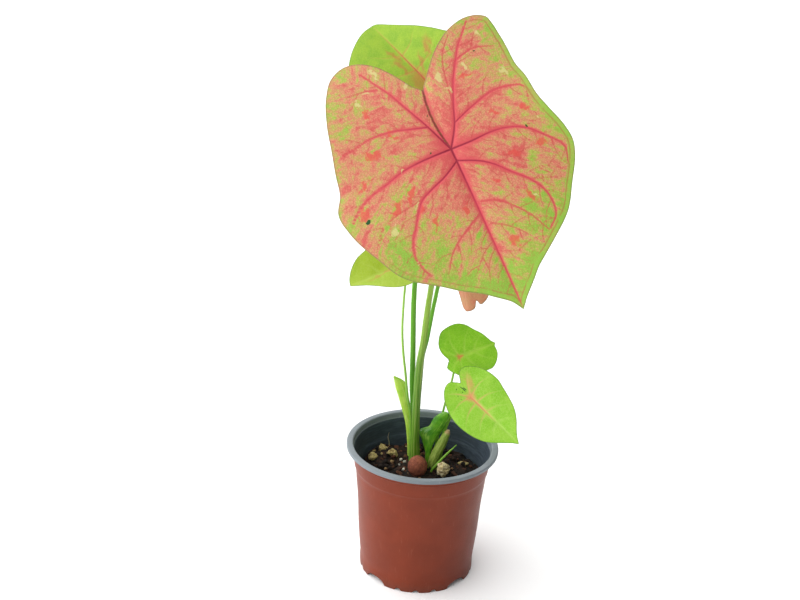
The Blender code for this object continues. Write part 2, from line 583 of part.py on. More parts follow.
def make_sheath(name, base, route, left, right, colour):
    """A rolled leaf: a strip along a route, its two halves wrapped backwards, with its thickness."""
    points = smooth_path(rooted_route(base, left[0], route), SHEATH_STEPS)
    last = len(points) - 1
    bm = bmesh.new()
    rows = []
    for i, spot in enumerate(points):
        ahead = points[min(i + 1, last)] - points[max(i - 1, 0)]
        row = sheath_row(spot, ahead, spread_value(left, i / last), spread_value(right, i / last))
        rows.append([bm.verts.new(metres(point)) for point in row])
    for low, high in zip(rows, rows[1:]):
        for k in range(SHEATH_ACROSS):
            bm.faces.new((low[k], high[k], high[k + 1], low[k + 1]))
    bmesh.ops.triangulate(bm, faces=bm.faces)
    bmesh.ops.recalc_face_normals(bm, faces=bm.faces)
    sheath = place(name, mesh_from(bm, name), finish=material(name, colour, 0.45))
    thickness = sheath.modifiers.new("thickness", "SOLIDIFY")
    thickness.thickness = SHEATH_THICKNESS * MM
    thickness.offset = 0.0
    make_hole(name, base, left[0] + SHEATH_THICKNESS, TUBER_CENTRE[2])


def make_shoots():
    """The cataphyll, the curled young leaf, the stub of a cut stalk and a thin offshoot."""
    make_sheath("cataphyll", CATAPHYLL_BASE, CATAPHYLL_ROUTE, CATAPHYLL_HALF_WIDTHS, CATAPHYLL_HALF_WIDTHS,
                (0.45, 0.66, 0.12))
    make_sheath("curled_leaf", CURLED_BASE, CURLED_ROUTE, CURLED_LEFT, CURLED_RIGHT, (0.20, 0.48, 0.03))
    stub = rooted_route(STUB_BASE, STUB_RADII[0], STUB_ROUTE)
    make_tube("stub", stub, STUB_RADII, material("stub", (0.28, 0.36, 0.06), 0.5))
    make_hole("stub", STUB_BASE, STUB_RADII[0], TUBER_CENTRE[2])
    offshoot = [Vector((*OFFSHOOT_BASE, OFFSHOOT_DEPTH)), Vector((*OFFSHOOT_BASE, SOIL_LEVEL))]
    offshoot += [Vector(point) for point in OFFSHOOT_ROUTE]
    make_tube("offshoot", offshoot, OFFSHOOT_RADII, material("offshoot", (0.25, 0.50, 0.05), 0.45))
    make_hole("offshoot", OFFSHOOT_BASE, OFFSHOOT_RADII[0], OFFSHOOT_DEPTH - GAP)


def stone_centre(spot, half_height, sunk):
    """The centre of a stone whose given share lies below the soil's surface."""
    return (*spot, soil_height(*spot) + half_height * (1 - 2 * sunk))


def make_stone(stone, seed):
    """A broken stone: the hull of points drawn on a ball, in a dent of the soil."""
    draw = random.Random(seed)
    centre = stone_centre(stone.place, stone.radii[2], stone.sunk)
    bm = bmesh.new()
    for _ in range(stone.corners):
        outwards = Vector([draw.gauss(0, 1) for _ in range(3)]).normalized()
        corner = outwards * draw.uniform(FLATTEST_CORNER, 1.0)
        bm.verts.new(metres([c + r * v for c, r, v in zip(centre, stone.radii, corner)]))
    hull = bmesh.ops.convex_hull(bm, input=bm.verts)
    inner = [v for v in hull["geom_interior"] if isinstance(v, bmesh.types.BMVert)]
    bmesh.ops.delete(bm, geom=inner, context="VERTS")
    finish = material(stone.name, stone.colour, 0.85)
    place(stone.name, mesh_from(bm, stone.name, smooth=False), finish=finish)
    dent = [radius + HOLE_CLEARANCE for radius in stone.radii]
    cutter_ellipsoid(f"dent_{stone.name}", "soil_cutters", centre, dent, 10, 6)


def make_clay_ball():
    """A ball of fired clay with a slightly lumpy skin."""
    centre = stone_centre(CLAY_BALL_PLACE, CLAY_BALL_RADII[2], CLAY_BALL_SUNK)
    bm = bmesh.new()
    ellipsoid(bm, centre, CLAY_BALL_RADII, 16, 10)
    middle = metres(centre)
    for vertex in bm.verts:
        out = vertex.co - middle
        lump = math.prod(math.sin(part / (size * MM)) for part, size in zip(out, CLAY_LUMP_SIZES))
        vertex.co = middle + out * (1 - CLAY_LUMP + CLAY_LUMP * lump)
    place("clay_ball", mesh_from(bm, "clay_ball"), finish=material("fired_clay", (0.30, 0.10, 0.05), 0.8))
    dent = [radius + HOLE_CLEARANCE for radius in CLAY_BALL_RADII]
    cutter_ellipsoid("dent_clay_ball", "soil_cutters", centre, dent, 16, 10)


def main():
    start_empty()
    planting = bpy.data.objects.new("planting", None)
    bpy.data.collections["potted_caladium"].objects.link(planting)
    make_pot()
    make_tuber()
    for leaf in LEAVES:
        make_stalk(leaf)
        make_blade(leaf)
    make_shoots()
    for seed, stone in enumerate(STONES):
        make_stone(stone, seed)
    make_clay_ball()
    make_soil()


main()
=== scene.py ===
"""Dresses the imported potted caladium: veined blades, stalks, shoots, a moulded pot, soil and stones."""

import json
import math
from dataclasses import dataclass

import bpy
import numpy as np
from bpy.props import FloatProperty, FloatVectorProperty, IntProperty, PointerProperty
from mathutils import Matrix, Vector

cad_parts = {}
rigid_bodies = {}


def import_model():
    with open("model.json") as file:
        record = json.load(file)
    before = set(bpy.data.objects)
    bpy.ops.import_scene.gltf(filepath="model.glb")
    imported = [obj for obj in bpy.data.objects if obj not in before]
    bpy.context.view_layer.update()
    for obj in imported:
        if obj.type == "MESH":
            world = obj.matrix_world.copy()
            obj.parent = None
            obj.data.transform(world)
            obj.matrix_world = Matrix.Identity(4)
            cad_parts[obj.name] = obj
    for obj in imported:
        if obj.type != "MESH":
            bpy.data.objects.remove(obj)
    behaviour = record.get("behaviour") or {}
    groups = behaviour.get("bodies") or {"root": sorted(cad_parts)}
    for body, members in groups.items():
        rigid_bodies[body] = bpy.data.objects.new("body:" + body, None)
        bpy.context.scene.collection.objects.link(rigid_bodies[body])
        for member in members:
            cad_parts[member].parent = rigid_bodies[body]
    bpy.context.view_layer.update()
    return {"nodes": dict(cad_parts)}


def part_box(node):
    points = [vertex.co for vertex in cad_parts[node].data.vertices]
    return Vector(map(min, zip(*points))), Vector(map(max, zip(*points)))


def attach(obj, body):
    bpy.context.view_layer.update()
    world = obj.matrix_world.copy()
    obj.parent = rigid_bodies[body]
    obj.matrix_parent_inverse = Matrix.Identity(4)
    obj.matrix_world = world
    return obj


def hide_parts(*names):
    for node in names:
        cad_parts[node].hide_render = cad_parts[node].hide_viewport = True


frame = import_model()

bl_info = {
    "name": "Potted Caladium",
    "version": (1, 0, 0),
    "blender": (4, 5, 0),
    "location": "3D View > Sidebar > Caladium",
    "description": "Builds the visible pieces of a potted caladium around its packed frame",
    "category": "Object",
}

MM = 0.001
SCATTER = (73856093, 19349663, 83492791)     # large primes that number the corners of the noise's cubes
SEED_STEP = 7919
STIR = 1274126177                # large prime that mixes a corner's number


# Curves and fields

def smooth(places, values, at):
    """Values on a smooth line: a cubic between each two places, whose slope at a place is the mean rise to
    both its neighbours."""
    places = np.asarray(places, float)
    values = np.asarray(values, float)
    last = len(places) - 1
    low = np.maximum(np.arange(last + 1) - 1, 0)
    high = np.minimum(np.arange(last + 1) + 1, last)
    gaps = (places[high] - places[low]).reshape((-1,) + (1,) * (values.ndim - 1))
    slopes = (values[high] - values[low]) / gaps
    i = np.clip(np.searchsorted(places, at, side="right") - 1, 0, last - 1)
    spread = np.shape(at) + (1,) * (values.ndim - 1)
    span = (places[i + 1] - places[i]).reshape(spread)
    t = (np.asarray(at) - places[i]).reshape(spread) / span
    return (values[i] * (1 + 2 * t) * (1 - t) ** 2 + slopes[i] * span * t * (1 - t) ** 2
            + values[i + 1] * t ** 2 * (3 - 2 * t) + slopes[i + 1] * span * t ** 2 * (t - 1))


def distances_along(points):
    """How far along a line each of its points lies."""
    return np.concatenate([[0], np.cumsum(np.linalg.norm(np.diff(points, axis=0), axis=1))])


def smooth_path(points, steps):
    """A smooth curve through points, spaced by the straight distances between them."""
    points = np.asarray(points, float)
    walked = distances_along(points)
    shares = np.arange(steps * (len(points) - 1) + 1) / steps
    at = np.interp(shares, np.arange(len(points)), walked)
    return smooth(walked, points, at)


def spread(values, shares):
    """Values spaced evenly over shares from 0 to 1."""
    return smooth(np.linspace(0, 1, len(values)), values, shares)


def unit(vectors):
    """The same directions with a length of one."""
    return vectors / np.linalg.norm(vectors, axis=-1, keepdims=True)


def full_turn(count):
    """Angles evenly round a circle."""
    return np.linspace(0, 2 * np.pi, count, endpoint=False)


def turned(radius, height, turn):
    """Points at a radius and a height, turned about Z."""
    return np.stack([radius * np.cos(turn), radius * np.sin(turn), height + 0 * turn], axis=-1)


def ball_ways(rows, columns):
    """Directions over a ball, in rings from its top to its foot."""
    fall = np.linspace(0, np.pi, rows)[:, None]
    return turned(np.sin(fall), np.cos(fall), full_turn(columns))


def circles_along(path, sides):
    """Directions round a path: unit circles square to it, and the angle of each of their points."""
    ahead = unit(np.gradient(path, axis=0))
    side = unit(np.cross(ahead, (0, 1, 0)))
    up = np.cross(side, ahead)
    turn = full_turn(sides)
    return side[:, None] * np.cos(turn)[:, None] + up[:, None] * np.sin(turn)[:, None], turn


def lumps(points, size, seed=0):
    """Noise from -1 to 1: chance values at the corners of cubes of this size, blended smoothly in between."""
    spot = np.asarray(points, float) / size
    cell = np.floor(spot).astype(np.int64)
    part = spot - cell
    part = part * part * (3 - 2 * part)
    total = np.zeros(spot.shape[:-1])
    for corner in np.ndindex(2, 2, 2):
        key = ((cell + corner) * SCATTER).sum(axis=-1) + seed * SEED_STEP
        key = (key ^ (key >> 13)) * STIR
        value = ((key ^ (key >> 16)) & 0xFFFF) / 32767.5 - 1
        total += value * np.prod(np.where(np.array(corner) == 1, part, 1 - part), axis=-1)
    return total


def body(name, grid, finish, **marks):
    """A closed mesh from a grid of points in millimetres. Each row is a ring, and the first and last rows
    shrink to one point each. Marks are values or vectors at the grid's points, kept as attributes."""
    rows, columns = grid.shape[:2]

    def flat(values):
        """A list for the mesh: the first and last rows count as one point each."""
        return np.concatenate([values[0].mean(axis=0)[None], values[1:-1].reshape((-1,) + values.shape[2:]),
                               values[-1].mean(axis=0)[None]])

    points = flat(grid)
    column = np.arange(columns)
    after = (column + 1) % columns
    ring = 1 + np.arange(rows - 3)[:, None] * columns
    quads = np.stack([ring + column, ring + after, ring + columns + after, ring + columns + column], axis=-1)
    end = len(points) - 1
    rim = 1 + (rows - 3) * columns
    fans = np.concatenate([np.stack([0 * column, 1 + after, 1 + column], axis=-1),
                           np.stack([0 * column + end, rim + column, rim + after], axis=-1)])
    quads = quads.reshape(-1, 4)
    triangles = np.concatenate([fans, quads[:, :3], quads[:, [0, 2, 3]]])
    corners = points[triangles]
    volume = np.einsum("ij,ij->i", corners[:, 0], np.cross(corners[:, 1], corners[:, 2])).sum()
    if volume < 0:
        fans = fans[:, ::-1]
        quads = quads[:, ::-1]
    marks = {key: flat(values) for key, values in marks.items()}
    return mesh_piece(name, points, [fans, quads], finish, marks)


def mesh_piece(name, points, face_groups, finish, marks):
    """An object at the origin whose mesh has the given points in millimetres and groups of equal faces."""
    mesh = bpy.data.meshes.new(name)
    loops = np.concatenate([group.ravel() for group in face_groups]).astype(np.int32)
    sizes = np.concatenate([np.full(len(group), group.shape[1]) for group in face_groups])
    mesh.vertices.add(len(points))
    mesh.vertices.foreach_set("co", (points * MM).astype(np.float32).ravel())
    mesh.loops.add(len(loops))
    mesh.loops.foreach_set("vertex_index", loops)
    mesh.polygons.add(len(sizes))
    mesh.polygons.foreach_set("loop_start", (np.cumsum(sizes) - sizes).astype(np.int32))
    mesh.update(calc_edges=True)
    mesh.validate()
    mesh.shade_smooth()
    for key, values in marks.items():
        vector = values.ndim == 2
        layer = mesh.attributes.new(key, "FLOAT_VECTOR" if vector else "FLOAT", "POINT")
        layer.data.foreach_set("vector" if vector else "value", values.astype(np.float32).ravel())
    mesh.materials.append(finish)
    piece = bpy.data.objects.new(name, mesh)
    bpy.context.scene.collection.objects.link(piece)
    return piece


def keep(piece, slot, *nodes):
    """The piece moves with the plant and stands for its CAD nodes. The slot is not used."""
    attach(piece, "root")
    if nodes:
        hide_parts(*nodes)


# Materials

LIGHT = 1.22                     # how much more light than white paper gives back falls on the plant


def paint(red, green, blue):
    """The linear colour of a surface that looks like this, from 0 to 255, in the studio's light."""
    seen = np.array([red, green, blue]) / 255
    linear = np.where(seen <= 0.04045, seen / 12.92, ((seen + 0.055) / 1.055) ** 2.4)
    return tuple(float(c) for c in linear / LIGHT)


def scaled(values, share):
    """All values times a share, such as a darker colour."""
    return tuple(share * value for value in values)


class Value:
    """A socket of a material that can be used in arithmetic, which adds Math nodes."""

    def __init__(self, finish, socket):
        self.finish = finish
        self.socket = socket

    def _math(self, operation, *values):
        return self.finish.node("ShaderNodeMath", {"operation": operation}, dict(enumerate(values)))

    def __add__(self, other):
        return self._math("ADD", self, other)

    def __radd__(self, other):
        return self._math("ADD", other, self)

    def __sub__(self, other):
        return self._math("SUBTRACT", self, other)

    def __rsub__(self, other):
        return self._math("SUBTRACT", other, self)

    def __mul__(self, other):
        return self._math("MULTIPLY", self, other)

    def __rmul__(self, other):
        return self._math("MULTIPLY", other, self)

    def sine(self):
        """Its sine, taken as radians."""
        return self._math("SINE", self)


class Finish:
    """A procedural material on one Principled shader."""

    def __init__(self, name, **constants):
        self.material = bpy.data.materials.new(name)
        self.material.use_nodes = True
        self.nodes = self.material.node_tree.nodes
        self.links = self.material.node_tree.links
        self.shader = self.nodes["Principled BSDF"]
        for key, value in constants.items():
            self.shader.inputs[key.replace("_", " ").title().replace("Ior", "IOR")].default_value = value

    def node(self, kind, settings, sockets, output=0):
        """Any node: its settings first, then the values or links of its sockets. Gives one of its outputs."""
        made = self.nodes.new(kind)
        for key, value in settings.items():
            if key == "stops":
                self._set_stops(made.color_ramp, value)
            else:
                setattr(made, key, value)
        for key, value in sockets.items():
            if isinstance(value, Value):
                self.links.new(value.socket, made.inputs[key])
            elif value is not None:
                made.inputs[key].default_value = value
        return Value(self, made.outputs[output])

    @staticmethod
    def _set_stops(ramp, stops):
        while len(ramp.elements) < len(stops):
            ramp.elements.new(1.0)
        for element, (position, colour) in zip(ramp.elements, stops):
            element.position = position
            element.color = (*tuple(colour)[:3], 1.0)

    def mark(self, name):
        """A number kept at the mesh's points."""
        return self.node("ShaderNodeAttribute", {"attribute_name": name}, {}, output=2)

    def mark_vector(self, name, scale=(1, 1, 1)):
        """A vector kept at the mesh's points, times a scale along each axis."""
        vector = self.node("ShaderNodeAttribute", {"attribute_name": name}, {}, output=1)
        return self.stretch(vector, scale)

    def place(self, scale=(1, 1, 1)):
        """Object coordinates in millimetres, times a scale along each axis."""
        vector = self.node("ShaderNodeTexCoord", {}, {}, output=3)
        return self.stretch(vector, tuple(s / MM for s in scale))

    def height(self):
        """Height in millimetres over the surface that the pot stands on."""
        return self.node("ShaderNodeSeparateXYZ", {}, {0: self.place()}, output=2)

    def stretch(self, vector, scale):
        """A vector times a scale along each axis."""
        return self.node("ShaderNodeVectorMath", {"operation": "MULTIPLY"}, {0: vector, 1: scale})

    def distance(self, vector, scale):
        """The length of a vector, times a scale."""
        vector = self.stretch(vector, (scale,) * 3)
        return self.node("ShaderNodeVectorMath", {"operation": "LENGTH"}, {0: vector}, output=1)

    def noise(self, vector, scale, detail=3.0, roughness=0.55, distortion=0.0):
        """Soft noise from 0 to 1. A scale of 1 gives it a lump to each unit of the vector."""
        return self.node("ShaderNodeTexNoise", {}, {"Vector": vector, "Scale": scale, "Detail": detail,
                                                   "Roughness": roughness, "Distortion": distortion})

    def speckle(self, scale, detail=3.0, roughness=0.55):
        """Noise over the Object coordinates in millimetres."""
        return self.noise(self.place(), scale, detail, roughness)

    def cells(self, vector, scale, feature="DISTANCE_TO_EDGE"):
        """Distance to the edge, or with F1 to the middle, of cells strewn by chance."""
        return self.node("ShaderNodeTexVoronoi", {"feature": feature}, {"Vector": vector, "Scale": scale})

    def between(self, value, low, high):
        """0 below low, 1 above high, eased in between. Low may be the larger."""
        return self.node("ShaderNodeMapRange", {"interpolation_type": "SMOOTHSTEP"},
                         {"Value": value, 1: low, 2: high})

    def ramp(self, value, stops):
        """The colour at a value, from stops that each hold a value and a colour."""
        return self.node("ShaderNodeValToRGB", {"stops": stops}, {0: value})

    def mix(self, share, first, second):
        """From the first colour to the second."""
        pair = [c if isinstance(c, Value) else (*tuple(c)[:3], 1.0) for c in (first, second)]
        return self.node("ShaderNodeMix", {"data_type": "RGBA"}, {0: share, 6: pair[0], 7: pair[1]}, output=2)

    def over(self, colour, other, value, low, high, share=1.0):
        """The colour with another laid over it, up to a share, where the value goes from low to high."""
        return self.mix(self.between(value, low, high) * share, colour, other)

    def tinted(self, colour, value):
        """A colour made lighter or darker by a value."""
        return self.node("ShaderNodeVectorMath", {"operation": "SCALE"}, {0: colour, "Scale": value})

    def wear(self, colour, roughness, height, depth):
        """Connect the colour, the roughness and a relief, whose height from 0 to 1 stands for a depth in
        metres."""
        bump = self.node("ShaderNodeBump", {}, {"Strength": 1.0, "Distance": depth, "Height": height})
        for key, value in (("Base Color", colour), ("Roughness", roughness), ("Normal", bump)):
            self.links.new(value.socket, self.shader.inputs[key])
        return self.material


# Leaves

CROWDING = 0.55                  # how much closer a blade's rays stand at its tip and its notch
MIDRIB_SOFTNESS = 4.0            # half width of the rounded bend along the midrib
FINE = 0.3                       # strength of the finest veins
BRANCH_ANGLE = math.radians(50)
SWELL = 0.45                     # how high the tissue swells between the veins of a large blade
SINK = 0.10                      # depth of a vein in the upper face
RIDGE = 0.55                     # height of a vein under the blade
OFF_CREASE = 99.0                # distance given to places that the crease doesn't pass
SOIL_LEVEL = 70.0
GAP = 0.3                        # room between two CAD pieces that touch


@dataclass
class Leaf:
    """One leaf in millimetres. An outline runs from the tip, 0 degrees, round to the notch, 180 degrees."""

    name: str
    star: tuple
    facing: tuple
    turn: float
    right: tuple
    left: tuple
    base: tuple
    route: tuple
    radii: tuple
    thickness: float = 0.7
    fold: float = 0.0
    groove: float = 0.0
    droop: float = 0.0
    curl: float = 0.0
    sag: float = 0.0
    wave: float = 0.0
    grid: tuple = (240, 60, 24)
    veins: tuple = ()

    @property
    def length(self):
        """From the star to the tip."""
        return self.right[0][1]

    def outline(self, angle):
        """Distance from the star to the margin."""
        degrees = np.degrees(np.abs(angle))
        right = smooth(*np.transpose(self.right), degrees)
        left = smooth(*np.transpose(self.left), degrees)
        return np.where(angle >= 0, right, left)

    def axes(self):
        """Unit vectors to the tip, to the right side and out of the upper face."""
        azimuth, height = np.radians(self.facing)
        turn = math.radians(self.turn)
        normal = np.array([math.cos(height) * math.sin(azimuth), -math.cos(height) * math.cos(azimuth),
                           math.sin(height)])
        down = np.array([math.sin(height) * math.sin(azimuth), -math.sin(height) * math.cos(azimuth),
                         -math.cos(height)])
        tip = math.cos(turn) * down + math.sin(turn) * np.cross(normal, down)
        return tip, np.cross(normal, tip), normal


@dataclass
class Vein:
    """A vein through places given as degrees from the tip and distance from the star."""

    places: tuple
    strength: float = 1.0
    start: float = 1.0           # half width of its core where it starts
    end: float = 0.45

    def points(self):
        """The places along and across the blade."""
        angle, distance = np.radians([p[0] for p in self.places]), np.array([p[1] for p in self.places])
        return np.stack([distance * np.cos(angle), distance * np.sin(angle)], axis=1)


def polar(points):
    """Degrees from the tip and distance from the star, of points given along and across the blade."""
    return tuple((math.degrees(math.atan2(y, x)), math.hypot(x, y)) for x, y in points)


def side_veins(leaf, starts, ends):
    """Pairs of side veins. Each leaves the midrib or the star sideways and bends towards the tip: the middle
    of three points of a smooth line is set back from the straight line by a tenth of its length."""
    veins = []
    for start, end in zip(starts, ends):
        for sign in (1, -1):
            goal = 0.93 * float(leaf.outline(np.radians(sign * end)))
            tip = np.array([goal * math.cos(math.radians(end)), goal * math.sin(math.radians(end))])
            root = np.array([start, 0.0])
            middle = root + 0.5 * (tip - root) - np.array([0.10, 0.0]) * np.linalg.norm(tip - root)
            places = polar((x, sign * y) for x, y in (root + 0.01, middle, tip))
            veins.append(Vein(places, 0.7, 0.8, 0.3))
    return veins


def branch_veins(veins, spacing, length):
    """Fine veins off both sides of others, at even steps along them. Each leaves at an angle and bends
    halfway towards its parent's own direction."""
    fine = []
    for vein in veins:
        path = smooth_path(vein.points(), 5)
        walked = distances_along(path)
        for sign in (1, -1):
            for place in np.arange(spacing * (0.8 + 0.25 * sign), walked[-1] - 3, spacing):
                spot, before, after = (np.array([np.interp(place + step, walked, path[:, k]) for k in (0, 1)])
                                       for step in (0, -1, 1))
                ahead = unit(after - before)
                c, s = math.cos(BRANCH_ANGLE), sign * math.sin(BRANCH_ANGLE)
                out = np.array([ahead[0] * c - ahead[1] * s, ahead[0] * s + ahead[1] * c])
                reach = length * (0.75 + 0.25 * math.sin(1.7 * place))
                middle = spot + 0.5 * reach * out
                end = middle + 0.5 * reach * unit(out + ahead)
                fine.append(Vein(polar((spot, middle, end)), FINE, 0.6, 0.25))
    return fine


def all_veins(leaf):
    """The main veins, listed or made as a midrib with pairs of side veins, and the fine ones off them."""
    main = list(leaf.veins)
    if leaf.name in SIDE_VEINS:
        main.append(Vein(((0, 0.1), (0, leaf.length * 0.5), (0, leaf.length * 0.96))))
        main += side_veins(leaf, *SIDE_VEINS[leaf.name])
    return main + branch_veins(main, 0.11 * leaf.length, 0.19 * leaf.length)


FRONT = Leaf(
    name="front", star=(5.8, -28.0, 308.7), facing=(4, 26), turn=26.1,
    right=((0, 105), (3, 99), (7, 93.5), (13, 87), (25, 81.8), (39, 79.4), (51, 76.2), (65, 75.7), (71, 74.6),
           (78, 70.8), (88, 65.2), (99, 62.6), (111, 65.2), (120, 67.8), (132, 78.5), (136.5, 83.7),
           (140.5, 87.3), (148, 84.1), (156, 74.8), (163, 63.4), (172, 48.7), (180, 39.8)),
    left=((0, 105), (2.5, 98.7), (6, 94.3), (12.5, 88.5), (21, 85), (30, 82.5), (46, 82.8), (58, 80.1),
          (75, 79.4), (84, 78.4), (91.4, 72.4), (100, 71), (113, 71.5), (125.6, 75.7), (137.4, 81),
          (146, 83.8), (154.5, 81), (162, 71.3), (169, 55), (173, 46.2), (180, 39.8)),
    base=(-3.9, 11.1),
    route=((-5.0, 10.5, 91), (-5.4, 10, 125), (-4.7, 8, 151), (-3.3, 5, 168), (-1.9, 0, 193.6),
           (-0.4, -3, 212), (2.2, -10, 245), (4.6, -17, 280)),
    radii=(3.7, 3.6, 2.95, 2.9, 2.3, 2.0, 1.9, 1.8, 1.8, 1.9),
    thickness=0.8, groove=2.0, droop=9.0, curl=15.0, sag=6.0, wave=1.5, grid=(560, 130, 36),
    veins=(
        Vein(((0, 0.1), (0, 35), (0, 70), (0, 103)), 1.0, 1.3, 0.5),
        Vein(((0, 7.5), (43, 19), (46, 28), (45, 39), (45, 50), (43, 60), (39, 68), (34, 74), (27, 76))),
        Vein(((85, 0.3), (87, 13), (89, 25), (87, 36), (82, 47), (75, 57), (68, 69), (59, 72)), 1.0, 1.2),
        Vein(((137, 0.3), (147, 14), (152, 28), (153, 42), (152, 54), (151, 64), (149, 74), (148, 81)),
             1.0, 1.2),
        Vein(((148, 16), (131, 27), (123, 39), (119, 46), (114, 52), (109, 58), (102, 61)), 0.9, 0.9),
        Vein(((152, 55), (147, 60), (142, 65), (133, 70)), 0.7, 0.7),
        Vein(((154, 30), (158, 39), (160, 49), (160, 58), (158, 65), (156, 71)), 0.5, 0.6),
        Vein(((-165, 0.3), (-158, 12), (-158, 21), (-157, 37), (-157, 49), (-156, 58), (-155, 71)), 1.0, 1.2),
        Vein(((-158, 19), (-140, 27), (-132, 35), (-126, 42), (-121, 49), (-116, 55), (-110, 66)), 0.9, 0.9),
        Vein(((-154, 57), (-148, 63), (-141, 70)), 0.6, 0.6),
        Vein(((-88, 0.3), (-91, 15), (-90, 26), (-88, 35), (-85, 45), (-84, 54), (-82, 62), (-79, 70),
              (-77, 74)), 1.0, 1.2),
        Vein(((0, 8), (-39, 18), (-50, 27), (-54, 36), (-52, 43), (-49, 52), (-47, 61), (-43, 69), (-38, 74),
              (-34, 77))),
        Vein(((-54, 35), (-64, 53), (-65, 63), (-61, 75)), 0.5, 0.6),
        Vein(((5, 36), (18, 42), (24, 53), (26, 62), (26, 70), (26, 76)), 0.6, 0.7),
        Vein(((3, 50), (10, 55), (15, 62), (18, 70)), 0.45, 0.6),
        Vein(((0, 67), (9, 73), (12, 80)), 0.35, 0.5),
        Vein(((0, 42), (-12, 48), (-22, 58), (-25, 66), (-26, 75)), 0.6, 0.7),
        Vein(((0, 60), (-8, 66), (-13, 76)), 0.35, 0.5),
        Vein(((50, 49), (55, 55), (57, 63)), 0.35, 0.5),
        Vein(((45, 51), (49, 59), (52, 69)), 0.35, 0.5),
        Vein(((59, 32), (63, 41), (70, 51)), 0.35, 0.5),
    ))

BACK = Leaf(
    name="back", star=(-3.5, 20.0, 333.6), facing=(-8, 30), turn=-132.0,
    right=((0, 64.2), (7, 64.4), (14, 63.2), (29, 59.7), (45, 55), (65, 49), (90, 44), (115, 42), (140, 43),
           (158, 38), (170, 28), (180, 20)),
    left=((0, 64.2), (2.4, 62.9), (8, 57.2), (15.6, 51.6), (24.6, 47.1), (35, 43), (49, 39.5), (65, 39),
          (90, 40), (115, 42), (140, 43), (158, 38), (170, 28), (180, 20)),
    base=(-3.2, 20.0),
    route=((-6, 19.5, 100), (-8.8, 18.5, 129), (-9.7, 18, 154), (-10.9, 18, 186), (-11, 18.5, 203),
           (-9.4, 20, 250), (-6.4, 23, 300)),
    radii=(2.3, 2.3, 2.1, 1.9, 1.8, 1.7, 1.6, 1.5),
    fold=0.12, groove=1.5, droop=5.0, curl=2.0, wave=0.8, grid=(360, 80, 30))

LEFT = Leaf(
    name="left", star=(-16.4, 7.5, 223.8), facing=(0, 50), turn=-62.0,
    right=((0, 41.5), (4, 36.5), (9.4, 32), (20, 27.8), (34, 24.8), (57, 21.5), (80, 18.5), (100, 16),
           (125, 14), (150, 13), (165, 11.5), (180, 8)),
    left=((0, 41.5), (5, 40.7), (12.4, 38.6), (25, 34), (36, 29), (52, 24), (75, 20), (100, 16), (125, 14),
          (150, 13), (165, 11.5), (180, 8)),
    base=(-7.5, 17.0),
    route=((-8.4, 16, 100), (-9.4, 14.5, 111), (-11.9, 14, 123), (-14.1, 14, 140), (-16.4, 14, 156),
           (-17.8, 14, 172), (-17.9, 13, 188), (-17.5, 13, 203)),
    radii=(1.3, 1.2, 1.0, 0.9, 0.85, 0.8, 0.8, 0.8), fold=0.4, droop=1.5, wave=0.4)

RIGHT = Leaf(
    name="right", star=(10.6, 12.0, 255.9), facing=(-20, 22), turn=19.3,
    right=((0, 63.6), (3.1, 63.4), (5.4, 61.8), (6.9, 57.8), (8.4, 60.8), (11, 60.3), (14.3, 57.9), (18, 54),
           (26, 45), (45, 35), (70, 28), (100, 24), (130, 23), (155, 20), (180, 12)),
    left=((0, 63.6), (1.3, 62), (2.3, 59.2), (3.2, 54), (5, 48), (8, 43), (16, 34), (32, 26), (60, 22),
          (90, 20), (120, 20), (145, 20), (165, 16), (180, 12)),
    base=(-3.5, 28.5),
    route=((-5.2, 26, 100), (-5, 22, 130), (-3.4, 18.5, 150), (-0.7, 17, 165), (0.7, 16, 176.5),
           (2.1, 15.5, 188), (4.2, 15, 203), (8.5, 17, 232)),
    radii=(2.2, 2.1, 1.8, 1.5, 1.4, 1.4, 1.4, 1.4), fold=-0.45, droop=1.0, wave=0.4, grid=(300, 70, 30))

SMALL_UPPER = Leaf(
    name="small_upper", star=(22.2, 16.0, 154.0), facing=(5, 35), turn=112.2,
    right=((0, 27.5), (7, 25), (25, 23), (41, 22), (58, 23), (73, 23), (89, 22), (105, 21), (121, 18),
           (136, 15), (154, 11), (168, 8.4), (180, 8)),
    left=((0, 27.5), (3, 26.4), (14, 27), (27, 26), (40, 24), (49, 21), (62, 18.5), (80, 16.5), (100, 14.5),
          (124, 12.5), (144, 12), (160, 11.5), (170, 9.5), (180, 8)),
    base=(8.8, 18.6), route=((12.3, 17.5, 101), (14.3, 16.8, 116), (18.2, 16.8, 135.5), (19.7, 18.6, 144)),
    radii=(1.0, 0.9, 0.8, 0.8, 0.8), fold=0.08, groove=0.5, droop=1.5, curl=1.5, wave=0.4, grid=(260, 60, 24))

SMALL_LOWER = Leaf(
    name="small_lower", star=(30.2, -8.0, 135.6), facing=(0, 36), turn=48.1,
    right=((0, 44.7), (4, 40.5), (10, 37), (27, 31), (43, 26), (59, 23), (75, 22), (94, 21), (119, 21),
           (145, 21), (156, 19.4), (161, 17.5), (165, 14.5), (170, 12), (175, 13), (180, 14.3)),
    left=((0, 44.7), (4, 41), (14, 36), (27, 32), (40, 28), (56, 24), (74, 21), (93, 19), (114, 18),
          (130, 18), (148, 18.3), (162, 18.2), (172, 17), (180, 14.3)),
    base=(13.2, 14.8),
    route=((14.8, 17, 92), (17.2, 16.8, 103), (20.8, 12.5, 114), (25.2, 5, 123.5), (28.8, -1.6, 130)),
    radii=(1.4, 1.4, 1.3, 1.2, 1.1, 1.1), fold=0.06, groove=0.6, droop=2.0, curl=1.0, wave=0.5,
    grid=(320, 80, 30))

